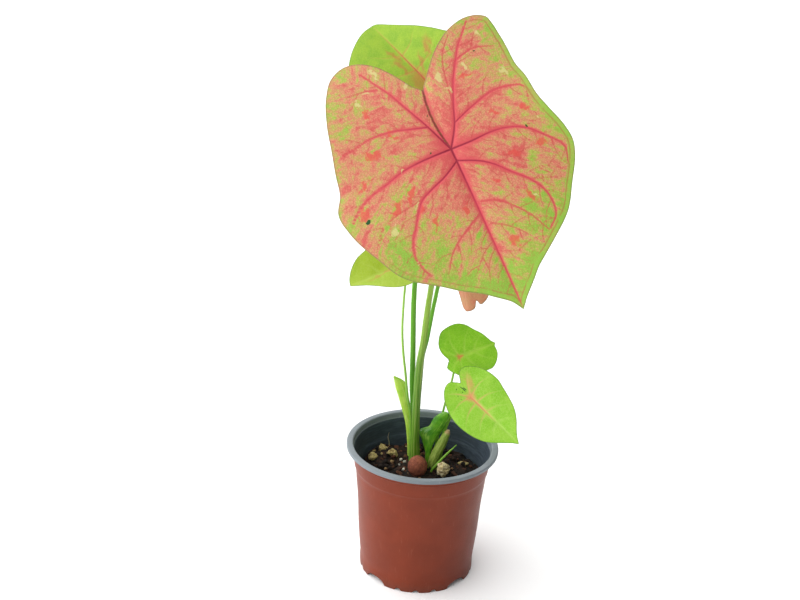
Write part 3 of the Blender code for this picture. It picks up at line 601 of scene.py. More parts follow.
# Where pairs of side veins start along the midrib, and the degrees from the tip at which they end
SIDE_VEINS = {
    "back": ((0, 0, 6, 20, 34), (140, 95, 62, 40, 22)),
    "left": ((0, 0, 8, 20), (140, 90, 45, 22)),
    "right": ((0, 0, 8, 22, 38), (140, 95, 50, 28, 14)),
    "small_upper": ((0, 0, 4, 11), (135, 90, 50, 25)),
    "small_lower": ((0, 0, 5, 14, 24), (140, 92, 56, 34, 18)),
}

# Patches on the front blade: degrees from the tip, distance from the star, half length, half width and
# degrees turned
SCARLET = ((-109, 47, 6, 2, 65), (-137, 54, 5, 1.6, 0), (-127, 37, 5, 1.5, 20), (97, 51, 3, 2.4, 0),
           (105, 34.5, 4, 1.5, 60), (144, 46, 4, 1.4, 70), (35.6, 56, 5, 1.6, 40), (10, 66, 4, 2.2, 10),
           (70, 55, 5, 2, 70), (62, 37, 6, 1.6, 70), (31, 33, 4, 1.3, 50), (-66.5, 49, 7, 1.8, -55),
           (-66, 37, 7, 1.4, -40), (-76.5, 65, 4, 2.4, -60), (-91, 57, 5, 1.8, -70), (-37, 45, 5, 1.2, -20),
           (-11, 38, 5, 1.6, -25), (-50, 42, 4, 1.2, -45))
CREAM = ((165, 44, 3.6, 2.6, 20), (157, 36, 4, 0.9, 15), (-170, 47, 2.5, 1.2, 30), (-160, 65, 5, 1.1, 30),
         (-148, 61, 3.5, 0.9, 60), (-141, 62, 3, 1.0, 20), (142, 75, 4, 1.6, 30), (146, 52, 3, 0.8, -20),
         (122, 59, 3, 1.6, 20), (86, 56, 1.2, 1, 10), (38, 58, 3, 1.2, 50), (-56, 40, 2.6, 1, -60),
         (-88, 33, 2.2, 0.7, -80), (-41, 70, 2.6, 0.8, -30), (-59, 60, 4, 1.4, -30))
MOSS = ((-73.4, 66.3, 2.3, 1.7, 100), (-103, 13.8, 0.8, 0.8, 0), (105, 64, 1.2, 0.9, 0),
        (84, 46.8, 1.3, 0.8, 20), (142, 63, 0.7, 0.7, 0), (-168, 24, 0.7, 0.7, 0))

# Where the front blade is greener or redder: place along and across the blade, reach, and by how much
TINTS = ((98, 0, 26, -0.50), (60, 42, 22, -0.32), (52, -50, 22, -0.34), (10, 74, 16, -0.38),
         (-48, 62, 14, -0.22), (-66, 34, 20, 0.06), (-55, -40, 24, 0.14), (-12, -62, 18, 0.16),
         (30, -74, 12, 0.24), (74, -24, 16, -0.10), (20, 34, 22, 0.14), (-30, 30, 20, 0.12), (0, 0, 24, 0.14),
         (22, -24, 16, 0.06))

# How much of the front blade's margin is clean green, by degrees from the tip
RIM = ((-180, 0.05), (-130, 0.05), (-75, 0.10), (-50, 0.25), (-15, 0.35), (0, 0.9), (20, 1.0), (100, 1.0),
       (128, 0.85), (145, 0.35), (160, 0.05), (180, 0.05))

# Tinged and dark places on the green blades, in the same terms
STAINS = {"back": ((6, 37, 9, 1.6, 10), (10, 30, 7, 2.5, 15), (12, 24, 4, 1.6, 0), (-16, 22, 7, 1.5, -25),
                   (14, 12, 14, 8, 0), (-30, 30, 9, 3, -30)),
          "left": ((5, 18, 14, 0.9, 0),),
          "small_lower": ((140, 9, 7, 3, -30),)}
SLITS = {"small_lower": ((177, 7, 3.6, 0.55, 0), (170, 6.5, 2.6, 0.4, 0), (-163, 11, 0.7, 0.6, 0),
                         (-165, 6, 0.6, 0.5, 0), (-118, 7, 0.6, 0.5, 0), (-140, 8.5, 0.5, 0.4, 0))}


def patch_field(patches, along, across, raggedness=1.0):
    """How strongly a place lies in a patch: the strongest of stretched bells exp(-(u/long)² - (v/wide)²),
    at a place that noise has moved, which makes the edges ragged."""
    strongest = np.zeros(along.shape)
    spot = np.stack([along, across, 0 * along], axis=-1)
    bent_along = along + raggedness * (1.6 * lumps(spot, 3.2, 21) + 0.8 * lumps(spot, 1.4, 22))
    bent_across = across + raggedness * (1.6 * lumps(spot, 3.2, 23) + 0.8 * lumps(spot, 1.4, 24))
    for angle, distance, long, wide, tilt in patches:
        x = bent_along - distance * math.cos(math.radians(angle))
        y = bent_across - distance * math.sin(math.radians(angle))
        c, s = math.cos(math.radians(tilt)), math.sin(math.radians(tilt))
        bell = np.exp(-((x * c + y * s) / long) ** 2 - ((y * c - x * s) / wide) ** 2)
        strongest = np.maximum(strongest, bell)
    return strongest


def vein_fields(leaf, along, across):
    """The thin cores and wide halos of the veins. Each falls off as a bell of the distance to the vein's
    line, whose width and strength shrink from the vein's start to its end."""
    core = np.zeros(along.shape)
    halo = np.zeros(along.shape)
    for vein in all_veins(leaf):
        path = smooth_path(vein.points(), 5 if vein.strength > FINE else 2)
        shares = np.linspace(0, 1, len(path))
        for start, end, share in zip(path[:-1], path[1:], shares):
            line = end - start
            t = np.clip(((along - start[0]) * line[0] + (across - start[1]) * line[1]) / (line @ line), 0, 1)
            gap = np.hypot(along - start[0] - t * line[0], across - start[1] - t * line[1])
            width = vein.start + (vein.end - vein.start) * share
            strength = vein.strength * (1 - 0.35 * share)
            core = np.maximum(core, strength * np.exp(-(gap / (0.72 * width)) ** 2))
            halo = np.maximum(halo, strength * np.exp(-(gap / (2.6 * width)) ** 1.5))
    return core, halo


def blade_height(leaf, along, across, reach, angle):
    """Height over the flat of the blade: two halves folded at a softened midrib, a groove, a bend of the tip
    or of the lobes, sagging sides and a waved margin."""
    from_midrib = np.hypot(across, MIDRIB_SOFTNESS) - MIDRIB_SOFTNESS
    fold = leaf.fold * from_midrib + leaf.groove * from_midrib / (from_midrib + MIDRIB_SOFTNESS)
    bend = np.where(along > 0, leaf.droop, leaf.curl) * (along / leaf.length) ** 2
    return fold - bend - leaf.sag * (across / leaf.length) ** 2 + leaf.wave * reach ** 3 * np.sin(5 * angle)


def front_marks(along, across, angle):
    """What only the front blade's colours need: directions of its streaks, which fan out from the midrib and
    from the lobes, the crease beside its notch, tints, patches and the green of its rim."""
    zero = np.zeros(along.shape)
    side = np.sign(across) * 40
    lobe = -0.87 * along + 0.5 * np.abs(across)
    beside = np.abs(0.5 * along + 0.87 * np.abs(across))
    bend = 2.7 * np.sin(np.pi * np.clip(-along / 40, 0, 1))
    off = (along >= -1) | (along < -41)
    tint = sum(by * np.exp(-((along - x) ** 2 + (across - y) ** 2) / wide ** 2) for x, y, wide, by in TINTS)
    return {
        "flow": np.stack([along - 0.75 * np.abs(across), side + 0.15 * np.abs(across), zero], axis=-1),
        "lobe_flow": np.stack([lobe - 0.6 * beside, side + 0.15 * beside, zero], axis=-1),
        "turned": np.abs(angle) + zero,
        "rim": smooth(*np.transpose(RIM), np.degrees(angle)) + zero,
        "crease": (across + bend) * (along < -1) + OFF_CREASE * off,
        "tint": tint,
        "scarlet": patch_field(SCARLET, along, across),
        "cream": patch_field(CREAM, along, across),
        "moss": patch_field(MOSS, along, across),
    }


def make_blade(leaf, finish, slot):
    """A blade as one closed skin: its rings run from the star over the upper face to the margin, round the
    edge and back under the blade. The tissue swells between the veins, which stand out below."""
    rays, above, below = leaf.grid
    even = np.linspace(-np.pi, np.pi, rays, endpoint=False)
    angle = even - CROWDING * np.sin(2 * even) / 2
    outline = leaf.outline(angle)
    reach = np.concatenate([np.linspace(0, 1, above), np.ones(3), np.linspace(1, 0, below)])[:, None]
    under = np.concatenate([np.zeros(above), (0.22, 0.5, 0.78), np.ones(below)])[:, None]
    inset = 0.12 * np.isclose(reach, 1) * (2 * under - 1) ** 2
    radius = reach * outline[None, :] - inset
    along = radius * np.cos(angle)
    across = radius * np.sin(angle)
    slope = np.gradient(outline, angle)
    margin = (1 - reach) * outline * outline / np.hypot(outline, slope)
    core, halo = vein_fields(leaf, along, across)
    thick = leaf.thickness * (0.75 - 0.35 * reach ** 4)
    height = blade_height(leaf, along, across, reach, angle) - under * thick
    swell = SWELL * (1 - np.exp(-(1 - halo) * 2.2)) - 0.15
    height += swell * np.clip(margin / 6, 0, 1) * min(1, leaf.length / 80)
    height -= np.where(under > 0.5, RIDGE, SINK) * core * np.clip(margin / 3, 0, 1)
    tip, side, normal = leaf.axes()
    grid = (np.array(leaf.star) + along[..., None] * tip + across[..., None] * side
            + height[..., None] * normal)
    marks = {
        "blade_mm": np.stack([along, across, 0 * along], axis=-1),
        "core": core, "halo": halo, "margin": margin, "under": under + 0 * along,
        "stain": patch_field(STAINS.get(leaf.name, ()), along, across),
        "slit": patch_field(SLITS.get(leaf.name, ()), along, across, 0.3),
    }
    if leaf is FRONT:
        marks |= front_marks(along, across, angle)
    keep(body(f"blade_{leaf.name}_skin", grid, finish, **marks), slot, f"blade_{leaf.name}")


def pink_blade_finish(looks):
    """The mottled blade: pink around the veins, tan to olive and green outwards in clouds and streaks,
    grained and netted, with scarlet and cream patches, a green band outside the margin's own vein and a dark
    edge that is painted shade."""
    f = Finish("pink_blade", coat_weight=0.03, coat_roughness=0.35, specular_ior_level=0.3)
    spot = f.mark_vector("blade_mm")
    core, halo, margin, under, rim = (f.mark(name) for name in ("core", "halo", "margin", "under", "rim"))
    broad = f.noise(spot, 0.085, 3.0, 0.6, 0.6)
    low_streaks, lobe_streaks = (f.noise(f.mark_vector(name, (0.22, 0.55, 1.0)), 1.0, 3.0, 0.6, 0.8)
                                 for name in ("flow", "lobe_flow"))
    in_lobe = f.between(f.mark("turned"), 1.5, 2.1)
    streaks = low_streaks * (1 - in_lobe) + lobe_streaks * in_lobe
    grain = f.noise(spot, 0.8, 3.0, 0.8)
    fine = f.noise(spot, 2.0, 2.0, 0.7)
    wobble = f.noise(spot, 0.35, 2.0)
    net = f.cells(spot, 0.75)
    far = f.distance(spot, 0.01)
    red = (0.67 - 0.40 * far + f.mark("tint") + 1.5 * (broad - 0.5) + 1.5 * (streaks - 0.5)
           + 0.8 * (wobble - 0.5) + 0.8 * (grain - 0.5) + 0.4 * (fine - 0.5) + 0.3 * halo)
    colour = f.ramp(red, ((0.0, looks.green), (0.20, paint(182, 198, 86)), (0.38, paint(208, 180, 104)),
                          (0.55, paint(222, 160, 114)), (0.76, paint(228, 134, 111)),
                          (1.0, paint(222, 100, 94))))
    colour = f.over(colour, paint(180, 84, 62), net + 0.25 * (fine - 0.5), 0.16, 0.0, 0.4)
    colour = f.over(colour, looks.pink, far + 0.25 * (broad - 0.5), 0.22, 0.03, 0.6)
    colour = f.over(colour, paint(204, 80, 74), core + 0.3 * (grain - 0.5), 0.05, 0.26, 0.7)
    colour = f.over(colour, looks.pink, halo + 0.5 * (grain - 0.5), 0.22, 0.90, 0.9)
    ragged = 0.9 * (wobble - 0.5) + 1.1 * (grain - 0.5) + 0.6 * (fine - 0.5)
    colour = f.over(colour, paint(228, 84, 74), f.mark("scarlet") + ragged, 0.15, 0.75, 0.8)
    colour = f.over(colour, paint(222, 214, 140), f.mark("cream") + ragged, 0.36, 0.70, 0.8)
    colour = f.over(colour, paint(30, 84, 32), f.mark("moss") + 0.3 * ragged, 0.40, 0.52)
    clean = f.mix(grain, paint(176, 220, 92), paint(130, 192, 58))
    colour = f.over(colour, clean, margin + 2.4 * (wobble - 0.5) - 4.2 * rim, 0.9, -0.6, 0.65 * rim)
    line = margin + 1.2 * (broad - 0.5) + 0.5 * (grain - 0.5)
    seam = f.between(line, 2.6, 3.4) * f.between(line, 4.2, 3.5)
    seam = seam * f.between(rim, 0.1, 0.4) * f.between(broad, 0.25, 0.5)
    colour = f.mix(0.6 * seam, colour, paint(190, 80, 66))
    crease = f.mark("crease") + 0.8 * (wobble - 0.5)
    beside = f.between(crease, -1.5, -0.2) * f.between(crease, 3.4, 1.6)
    colour = f.mix(0.75 * beside, colour, looks.pink)
    fold = f.between(crease, -1.1, -0.3) * f.between(crease, 1.0, 0.3)
    maroon = f.over(paint(130, 44, 44), paint(88, 120, 40), grain, 0.55, 0.60)
    colour = f.mix(0.9 * fold, colour, maroon)
    colour = f.over(colour, f.over(paint(158, 36, 60), looks.crimson, far, 0.02, 0.45), core, 0.34, 0.95)
    # Painted shade along the edge of the blade.
    colour = f.over(colour, paint(116, 104, 62), margin, 1.1, 0.1, 0.6)
    below = f.mix(broad, paint(196, 190, 128), paint(214, 150, 120))
    below = f.over(below, paint(206, 112, 100), halo, 0.3, 0.95, 0.8)
    colour = f.mix(under, colour, below)
    relief = 0.5 * grain + 0.35 * fine + 0.25 * f.between(net, 0.0, 0.15)
    return f.wear(colour, 0.40 + 0.22 * grain + 0.1 * core, relief, 0.00018)


def green_blade_finish(name, greens, vein_colour, vein_share, blush, star=0.075):
    """A green blade: two greens in soft patches, netted, with veins coloured near the star and paler further
    out, a blush round the star, stains, dark slits and a thin dark edge of painted shade."""
    f = Finish(name, coat_weight=0.05, coat_roughness=0.3, specular_ior_level=0.3)
    green, light, pale = (paint(*colour) for colour in greens)
    vein_colour = paint(*vein_colour)
    spot = f.mark_vector("blade_mm")
    core, halo, margin, under = (f.mark(key) for key in ("core", "halo", "margin", "under"))
    broad = f.noise(spot, 0.10, 3.0, 0.6)
    grain = f.noise(spot, 1.2, 3.0, 0.7)
    net = f.cells(spot, 0.55)
    far = f.distance(spot, 0.01)
    tinge = f.between(far, vein_share, vein_share * 0.35)
    colour = f.over(green, light, broad + 0.4 * (grain - 0.5), 0.35, 0.65)
    colour = f.over(colour, pale, net, 0.09, 0.0, 0.3)
    colour = f.over(colour, vein_colour, halo, 0.35, 1.0, tinge * 0.8)
    colour = f.over(colour, pale, halo, 0.2, 0.9, 0.55)
    colour = f.over(colour, vein_colour, far, star, 0.01, blush)
    colour = f.over(colour, vein_colour, core, 0.3, 0.9, tinge)
    stain = f.mark("stain") + 0.7 * (broad - 0.5) + 0.9 * (grain - 0.5)
    colour = f.over(colour, vein_colour, stain, 0.15, 1.1, 0.6)
    colour = f.over(colour, paint(64, 118, 32), f.mark("slit"), 0.45, 0.75)
    # Painted shade along the edge of the blade.
    colour = f.over(colour, paint(60, 96, 40), margin, 0.6, 0.1, 0.7)
    below = f.mix(broad, paint(168, 196, 120), paint(150, 184, 104))
    below = f.over(below, paint(200, 206, 150), halo, 0.4, 1.0, 0.5)
    colour = f.mix(under, colour, below)
    return f.wear(colour, 0.36 + 0.2 * grain, 0.6 * grain + 0.3 * f.between(net, 0.0, 0.14), 0.00014)


# Each other blade: leaf, slot, finish, its greens from deep to pale, the colour of its veins, how far out
# they keep it, the strength of the blush and, where it isn't the usual one, the blush's reach
OTHER_BLADES = (
    (BACK, "green_leaf", "back_blade", ((134, 180, 28), (154, 192, 38), (176, 204, 62)), (196, 96, 56),
     0.75, 0.5),
    (LEFT, "green_leaf", "left_blade", ((160, 194, 48), (172, 204, 62), (192, 216, 96)), (214, 136, 84),
     0.20, 0.4),
    (RIGHT, "pink_leaf", "right_blade", ((214, 136, 108), (206, 156, 112), (226, 178, 130)), (180, 76, 66),
     0.8, 0.5),
    (SMALL_UPPER, "green_leaf", "upper_blade", ((136, 208, 32), (152, 220, 44), (196, 234, 92)),
     (220, 142, 74), 0.04, 0.5, 0.02),
    (SMALL_LOWER, "green_leaf", "lower_blade", ((142, 208, 44), (162, 218, 66), (196, 230, 110)),
     (232, 156, 106), 0.26, 0.7, 0.05),
)


# Stalks and shoots

TUBER_CENTRE = (2.0, 17.0, 47.0)
TUBER_RADII = (18.0, 16.0, 13.0)
SHEATH_THICKNESS = 0.8
SHEATH_ROLL = math.radians(75)
SHEATH_COLUMNS = 25


def rooted(base, radius, route):
    """A route that starts upright on the tuber and passes the soil's surface."""
    x, y = base
    flat = ((x - TUBER_CENTRE[0]) / TUBER_RADII[0]) ** 2 + ((y - TUBER_CENTRE[1]) / TUBER_RADII[1]) ** 2
    foot = TUBER_CENTRE[2] + TUBER_RADII[2] * math.sqrt(max(0.0, 1 - flat)) + GAP + radius
    return [(x, y, foot), (x, y, SOIL_LEVEL + 1.0), *route]


def keep_shoot(node, grid, first, last, shares, places, finish, slot):
    """A shoot's skin from its rings, with a point at each end. Each of its points is marked with its share of
    the length and its place round the shoot."""
    share = np.concatenate([[0], shares, [1]])[:, None] + np.zeros(grid.shape[1])
    around = np.stack([places[0] + 0 * share, places[1] + 0 * share, 10 * share], axis=-1)
    first, last = (np.broadcast_to(end, grid[:1].shape) for end in (first, last))
    skin = body(f"{node}_skin", np.concatenate([first, grid, last]), finish, share=share, around=around)
    keep(skin, slot, node)


def make_stem(node, points, radii, finish, slot, sides=28, flare=0.0, ribs=0.02):
    """A round stem: rings square to a smooth route. The radius follows its list, with faint ribs and lumps,
    and flares over the last twentieth."""
    path = smooth_path(points, 14)
    shares = np.linspace(0, 1, len(path))
    radius = spread(radii, shares) * (1 + flare * np.clip((shares - 0.95) / 0.05, 0, 1) ** 2)
    ring, turn = circles_along(path, sides)
    reach = radius[:, None] * (1 - ribs + ribs * np.cos(9 * turn))
    grid = path[:, None] + ring * reach[..., None]
    grid += ring * (0.03 * radius[:, None] * lumps(grid, 4.0))[..., None]
    keep_shoot(node, grid, path[0], path[-1], shares, (np.cos(turn), np.sin(turn)), finish, slot)


def make_petiole(leaf, finish):
    """A leaf's stalk, which runs into the underside of its blade."""
    normal = leaf.axes()[2]
    radius = leaf.radii[-1]
    below = leaf.thickness + GAP + radius * max(0.0, -leaf.fold)
    end = np.array(leaf.star) - normal * below
    points = rooted(leaf.base, leaf.radii[0], leaf.route)
    points += [tuple(end - normal * 2.5 * radius), tuple(end + normal * 0.35)]
    make_stem(f"petiole_{leaf.name}", points, leaf.radii, finish, "green_stalk", flare=0.25)


def stalk_finish(name, *colours):
    """A fleshy stalk: pale fibres along it, darker green towards the soil, and specks of that deeper green.
    """
    f = Finish(name, coat_weight=0.05, coat_roughness=0.3, specular_ior_level=0.35)
    lit, mid, deep = (paint(*colour) for colour in colours)
    fibres = f.noise(f.mark_vector("around", (6.0, 6.0, 0.7)), 1.0, 3.0, 0.6)
    patches = f.noise(f.mark_vector("around", (1.6, 1.6, 0.8)), 1.3, 3.0, 0.6)
    specks = f.speckle(1.3, 2.0, 0.7)
    colour = f.over(mid, deep, f.mark("share") + 0.3 * (patches - 0.5), 0.62, 0.25)
    colour = f.over(colour, lit, fibres, 0.45, 0.68, 0.55)
    colour = f.over(colour, deep, specks, 0.62, 0.75, 0.35)
    return f.wear(colour, 0.30 + 0.25 * fibres, 0.7 * fibres + 0.3 * specks, 0.00012)


def make_sheath(node, base, route, left, right, finish, slot):
    """A rolled strip along a route: its halves wrap backwards as a flattened arc, with a wall that thins
    towards both margins."""
    path = smooth_path(rooted(base, left[0], route), 16)
    shares = np.linspace(0, 1, len(path))
    ahead = unit(np.gradient(path, axis=0))[:, None]
    side = unit(np.cross(ahead, (0, 1, 0)))
    turn = np.linspace(-SHEATH_ROLL, SHEATH_ROLL, SHEATH_COLUMNS)
    half = np.where(turn > 0, spread(left, shares)[:, None], spread(right, shares)[:, None])
    radius = np.maximum(half, 0.3)[..., None] / math.sin(SHEATH_ROLL)
    back = np.array([0.0, 0.5, 0.0])
    sine, cosine = np.sin(turn)[:, None], np.cos(turn)[:, None]
    sheet = path[:, None] + radius * (side * sine + back * (1 - cosine))
    outwards = unit(np.cross(ahead, side * cosine + back * sine))
    wall = SHEATH_THICKNESS / 2 * (1 - 0.6 * np.abs(turn / SHEATH_ROLL) ** 3)[:, None]
    ribs = 0.05 * np.cos(14 * turn)[:, None]
    inner = sheet - outwards * wall
    grid = np.concatenate([sheet + outwards * (wall + ribs), inner[:, ::-1]], axis=1)
    places = (np.concatenate([turn, turn[::-1]]) / SHEATH_ROLL, 0.0)
    keep_shoot(node, grid, grid[0].mean(axis=0), grid[-1].mean(axis=0), shares, places, finish, slot)


def shoot_finish(name, shine, *colours):
    """A rolled young leaf: parallel ribs, paler streaks and a smooth shine."""
    f = Finish(name, coat_weight=shine, coat_roughness=0.2)
    lit, mid, deep = (paint(*colour) for colour in colours)
    ribs = f.noise(f.mark_vector("around", (4.5, 1.0, 0.35)), 1.6)
    colour = f.over(mid, deep, f.speckle(0.16, 3.0, 0.6), 0.35, 0.65)
    colour = f.over(colour, lit, ribs, 0.50, 0.68, 0.8)
    return f.wear(colour, 0.28 + 0.2 * ribs, ribs, 0.00018)


def stub_finish():
    """The stub of a cut stalk: olive and speckled, drying to tan at its tip."""
    f = Finish("cut_stub", coat_weight=0.05)
    fibres = f.noise(f.mark_vector("around", (5.0, 5.0, 0.8)), 1.4, 3.0, 0.65)
    specks = f.speckle(1.1, 3.0, 0.7)
    colour = f.over(paint(112, 146, 36), paint(168, 186, 84), fibres, 0.35, 0.7)
    colour = f.over(colour, paint(94, 100, 36), specks, 0.55, 0.7, 0.5)
    dry = f.mix(fibres, paint(150, 116, 66), paint(206, 184, 128))
    colour = f.over(colour, dry, f.mark("share") + 0.2 * (specks - 0.5), 0.82, 0.93)
    return f.wear(colour, 0.55 + 0.3 * specks, 0.6 * fibres + 0.6 * specks, 0.0003)


# Pot

WALL = 1.0
WALL_CURVE = ((9.0, 40.1), (31.0, 42.1), (53.0, 43.3), (68.0, 44.8), (77.0, 45.6))   # height and radius
SKIRT = 9.0                      # height of the skirt under the wall
SKIRT_INSIDE = 37.5              # a radius just inside the skirt
WALL_TOP = 77.0
FOOT_RADIUS = 40.3
INNER_LIP = (47.3, 91.2)         # radius and height where the flange starts and ends
OUTER_LIP = (52.4, 92.6)
CORNER_CUT = 0.35                # length that a rounded corner takes off each side
ARCHES = (45, 135, 225, 315)
ARCH_HALF_WIDTH = 8.4
ARCH_HEIGHT = 4.4
NOTCH_RADIUS = 2.0
NOTCH_OFFSETS = (27, 45, 63)
DRAINS = 8
DRAIN_CIRCLE = 31.0
DRAIN_RADIUS = 3.4
DRILL_ENDS = (3.0, 9.0)


def wall_radius(heights):
    """Outer radius of the pot's wall."""
    return smooth(*np.transpose(WALL_CURVE), heights)


def rounded(corners):
    """A section with each corner drawn as a small quadratic, from a point before it to one after it."""
    corners = np.asarray(corners, float)
    before, after = corners[:-2] - corners[1:-1], corners[2:] - corners[1:-1]
    long_before = np.linalg.norm(before, axis=1, keepdims=True)
    long_after = np.linalg.norm(after, axis=1, keepdims=True)
    cut = np.minimum(CORNER_CUT, 0.4 * np.minimum(long_before, long_after))
    first = (corners[1:-1] + before / long_before * cut)[:, None]
    last = (corners[1:-1] + after / long_after * cut)[:, None]
    t = np.linspace(0, 1, 4)[None, :, None]
    curve = first * (1 - t) ** 2 + 2 * corners[1:-1][:, None] * t * (1 - t) + last * t ** 2
    return np.concatenate([corners[:1], curve.reshape(-1, 2), corners[-1:]])


def filled(section, longest):
    """A section with points added so that no step is longer than the given length."""
    pieces = []
    for start, end in zip(section[:-1], section[1:]):
        count = max(1, int(math.ceil(np.linalg.norm(end - start) / longest)))
        pieces.append(start + (end - start) * (np.arange(count) / count)[:, None])
    return np.concatenate(pieces + [section[-1:]])


def pot_section():
    """Radius and height from the middle of the floor up the inside, over the flange and down the outside."""
    heights = np.linspace(SKIRT, WALL_TOP, 20)
    wall = np.stack([wall_radius(heights), heights], axis=1)
    inner = wall - (WALL, 0.0)
    floor = [(0, 1.4), (21.6, 1.4), (23.9, 6.4), (38.6, 6.4), inner[0]]
    mouth = [inner[-1], (45.3, 78.4), (46.8, 90.6), INNER_LIP, (47.8, 94.4), (48.5, 95.0), (51.8, 95.0),
             (52.35, 94.7), (52.5, 94.1), OUTER_LIP, (51.6, 92.6), (51.4, 93.7), (48.9, 93.7), (48.1, 91.0),
             (47.75, 88.8), (47.95, 88.5), (47.7, 88.2), (46.5, 78.9), wall[-1]]
    foot = [wall[0], (FOOT_RADIUS, 0), (39.2, 0), (38.5, 5.0), (24.4, 5.0), (22.4, 0), (0, 0)]
    parts = [rounded(floor), inner[1:-1], rounded(mouth), wall[-2:0:-1], rounded(foot)]
    return filled(np.concatenate(parts), 3.5)


def foot_cut(turn):
    """Height of the skirt's lower edge: half ellipses for the arches and half circles for the notches."""
    degrees = np.degrees(turn)
    cut = np.zeros(turn.shape)
    openings = [(a, ARCH_HALF_WIDTH, ARCH_HEIGHT) for a in ARCHES]
    openings += [(a + b, NOTCH_RADIUS, NOTCH_RADIUS) for a in ARCHES for b in NOTCH_OFFSETS]
    for middle, half_width, height in openings:
        away = np.abs((degrees - middle + 180) % 360 - 180) * math.pi / 180 * FOOT_RADIUS
        cut = np.maximum(cut, height * np.sqrt(np.clip(1 - (away / half_width) ** 2, 0, 1)))
    return cut


def make_pot(looks):
    """The pot: its section turned about Z, with the skirt squeezed upwards where it is cut away. Noise wears
    the skirt's lower edge."""
    section = pot_section()
    turn = full_turn(looks.steps)
    radius = section[:, :1] + 0 * turn
    height = section[:, 1:] + 0 * turn
    skirt = (radius > SKIRT_INSIDE) & (height < SKIRT)
    cut = foot_cut(turn)
    height = np.where(skirt, cut + height * (1 - cut / SKIRT), height)
    worn = lumps(np.stack([8 * turn, 0 * turn, 0 * turn], axis=-1), 1.0, 4) ** 2
    radius = radius - 0.25 * skirt * np.clip((SKIRT - height) / SKIRT, 0, 1) * worn
    walked = distances_along(section)
    inner, outer = (walked[np.argmin(np.hypot(*(section - lip).T))] for lip in (INNER_LIP, OUTER_LIP))
    inside = np.clip((inner - walked) / 0.6, 0, 1)[:, None] + 0 * turn
    flange = np.clip((outer + 0.5 - walked) / 0.5, 0, 1)[:, None] + 0 * turn
    pot = body("pot_skin", turned(radius, height, turn), pot_finish(looks), inside=inside, flange=flange)
    drill_drains(pot)
    keep(pot, "pot_plastic", "pot")


def drill_drains(pot):
    """Round holes through the raised floor."""
    low, high = DRILL_ENDS
    rows = ((0.0, low), (DRAIN_RADIUS, low), (DRAIN_RADIUS, high), (0.0, high))
    cutters = bpy.data.collections.new("drills")
    for number in range(DRAINS):
        centre = turned(DRAIN_CIRCLE, 0.0, (number + 0.5) * math.tau / DRAINS)
        grid = np.stack([centre + turned(radius, height, full_turn(32)) for radius, height in rows])
        cutters.objects.link(body(f"drill_{number}", grid, pot.data.materials[0]))
    cut = pot.modifiers.new("drains", "BOOLEAN")
    cut.operation = "DIFFERENCE"
    cut.solver = "MANIFOLD"
    cut.operand_type = "COLLECTION"
    cut.collection = cutters
    apply_modifiers(pot)
    for drill in list(cutters.objects):
        bpy.data.objects.remove(drill, do_unlink=True)
    bpy.data.collections.remove(cutters)


def apply_modifiers(piece):
    """Replace a piece's mesh by the one that its modifiers make."""
    bpy.context.view_layer.update()
    made = bpy.data.meshes.new_from_object(piece.evaluated_get(bpy.context.evaluated_depsgraph_get()))
    piece.modifiers.clear()
    piece.data = made


def pot_finish(looks):
    """Moulded plastic: terracotta outside, slate on the flange and dark inside, with fine flow lines, scuffs
    and a darker brown towards the foot."""
    f = Finish("pot_plastic", coat_weight=0.02, coat_roughness=0.35, specular_ior_level=0.2)
    flow = f.noise(f.place((0.10, 0.10, 0.9)), 1.0, 3.0, 0.6)
    scuff = f.noise(f.place((0.5, 0.5, 0.05)), 1.5, 4.0, 0.7)
    cloud = f.speckle(0.045, 3.0, 0.6)
    grain = f.speckle(3.0, 2.0, 0.6)
    foot_mottle = f.speckle(0.5, 4.0, 0.7)
    outside = f.over(looks.outside, scaled(looks.outside, 0.72), cloud, 0.3, 0.7, 0.5)
    outside = f.over(outside, paint(196, 120, 96), scuff, 0.60, 0.78, 0.25)
    slate = f.over(looks.flange, scaled(looks.flange, 0.75), cloud, 0.35, 0.65, 0.5)
    slate = f.over(slate, paint(176, 184, 188), scuff, 0.55, 0.75, 0.35)
    within = f.over(looks.inside, scaled(looks.inside, 1.9), flow, 0.4, 0.7, 0.6)
    within = f.over(within, paint(96, 100, 104), scuff, 0.60, 0.75, 0.3)
    colour = f.mix(f.mark("flange"), outside, slate)
    colour = f.mix(f.mark("inside"), colour, within)
    # Darker brown towards the foot, with a ragged edge.
    colour = f.over(colour, paint(96, 62, 48), f.height() + 10 * (foot_mottle - 0.5), 9.0, 0.0, 0.35)
    return f.wear(colour, 0.30 + 0.16 * grain + 0.12 * cloud, 0.5 * grain + 0.5 * flow, 0.00010)


# Soil, stones and clay

SOIL_RADIUS = 42.8
MOUND_MIDDLE = (-27.0, 24.0)
MOUND_HEIGHT = 4.6
MOUND_WIDTH = 9.0
STONE_ROUGHNESS = 0.085          # depth of a stone's roughness as a share of its size
PITS = 46

# Slot of each kind of stone, its light, middle and dark colour, and the scale of its grain. The dark colour
# is painted shade in the stone's hollows and darker grain.
STONES = {
    "gravel": ("ochre_gravel", (208, 190, 128), (178, 158, 96), (118, 96, 52), 1.2),
    "perlite": ("perlite", (242, 240, 228), (216, 214, 190), (150, 146, 118), 1.2),
    "cream": ("cream_stone", (238, 226, 178), (214, 194, 138), (140, 112, 70), 0.8),
}


def soil_height(x, y):
    """The soil's level with a mound at the left and low waves."""
    away = np.hypot(x - MOUND_MIDDLE[0], y - MOUND_MIDDLE[1])
    mound = MOUND_HEIGHT * np.exp(-0.5 * (away / MOUND_WIDTH) ** 2)
    waves = 0.6 * np.sin(0.31 * x + 1.0) * np.sin(0.27 * y + 2.0) + 0.4 * np.sin(0.53 * x - 0.47 * y)
    return SOIL_LEVEL + mound + waves


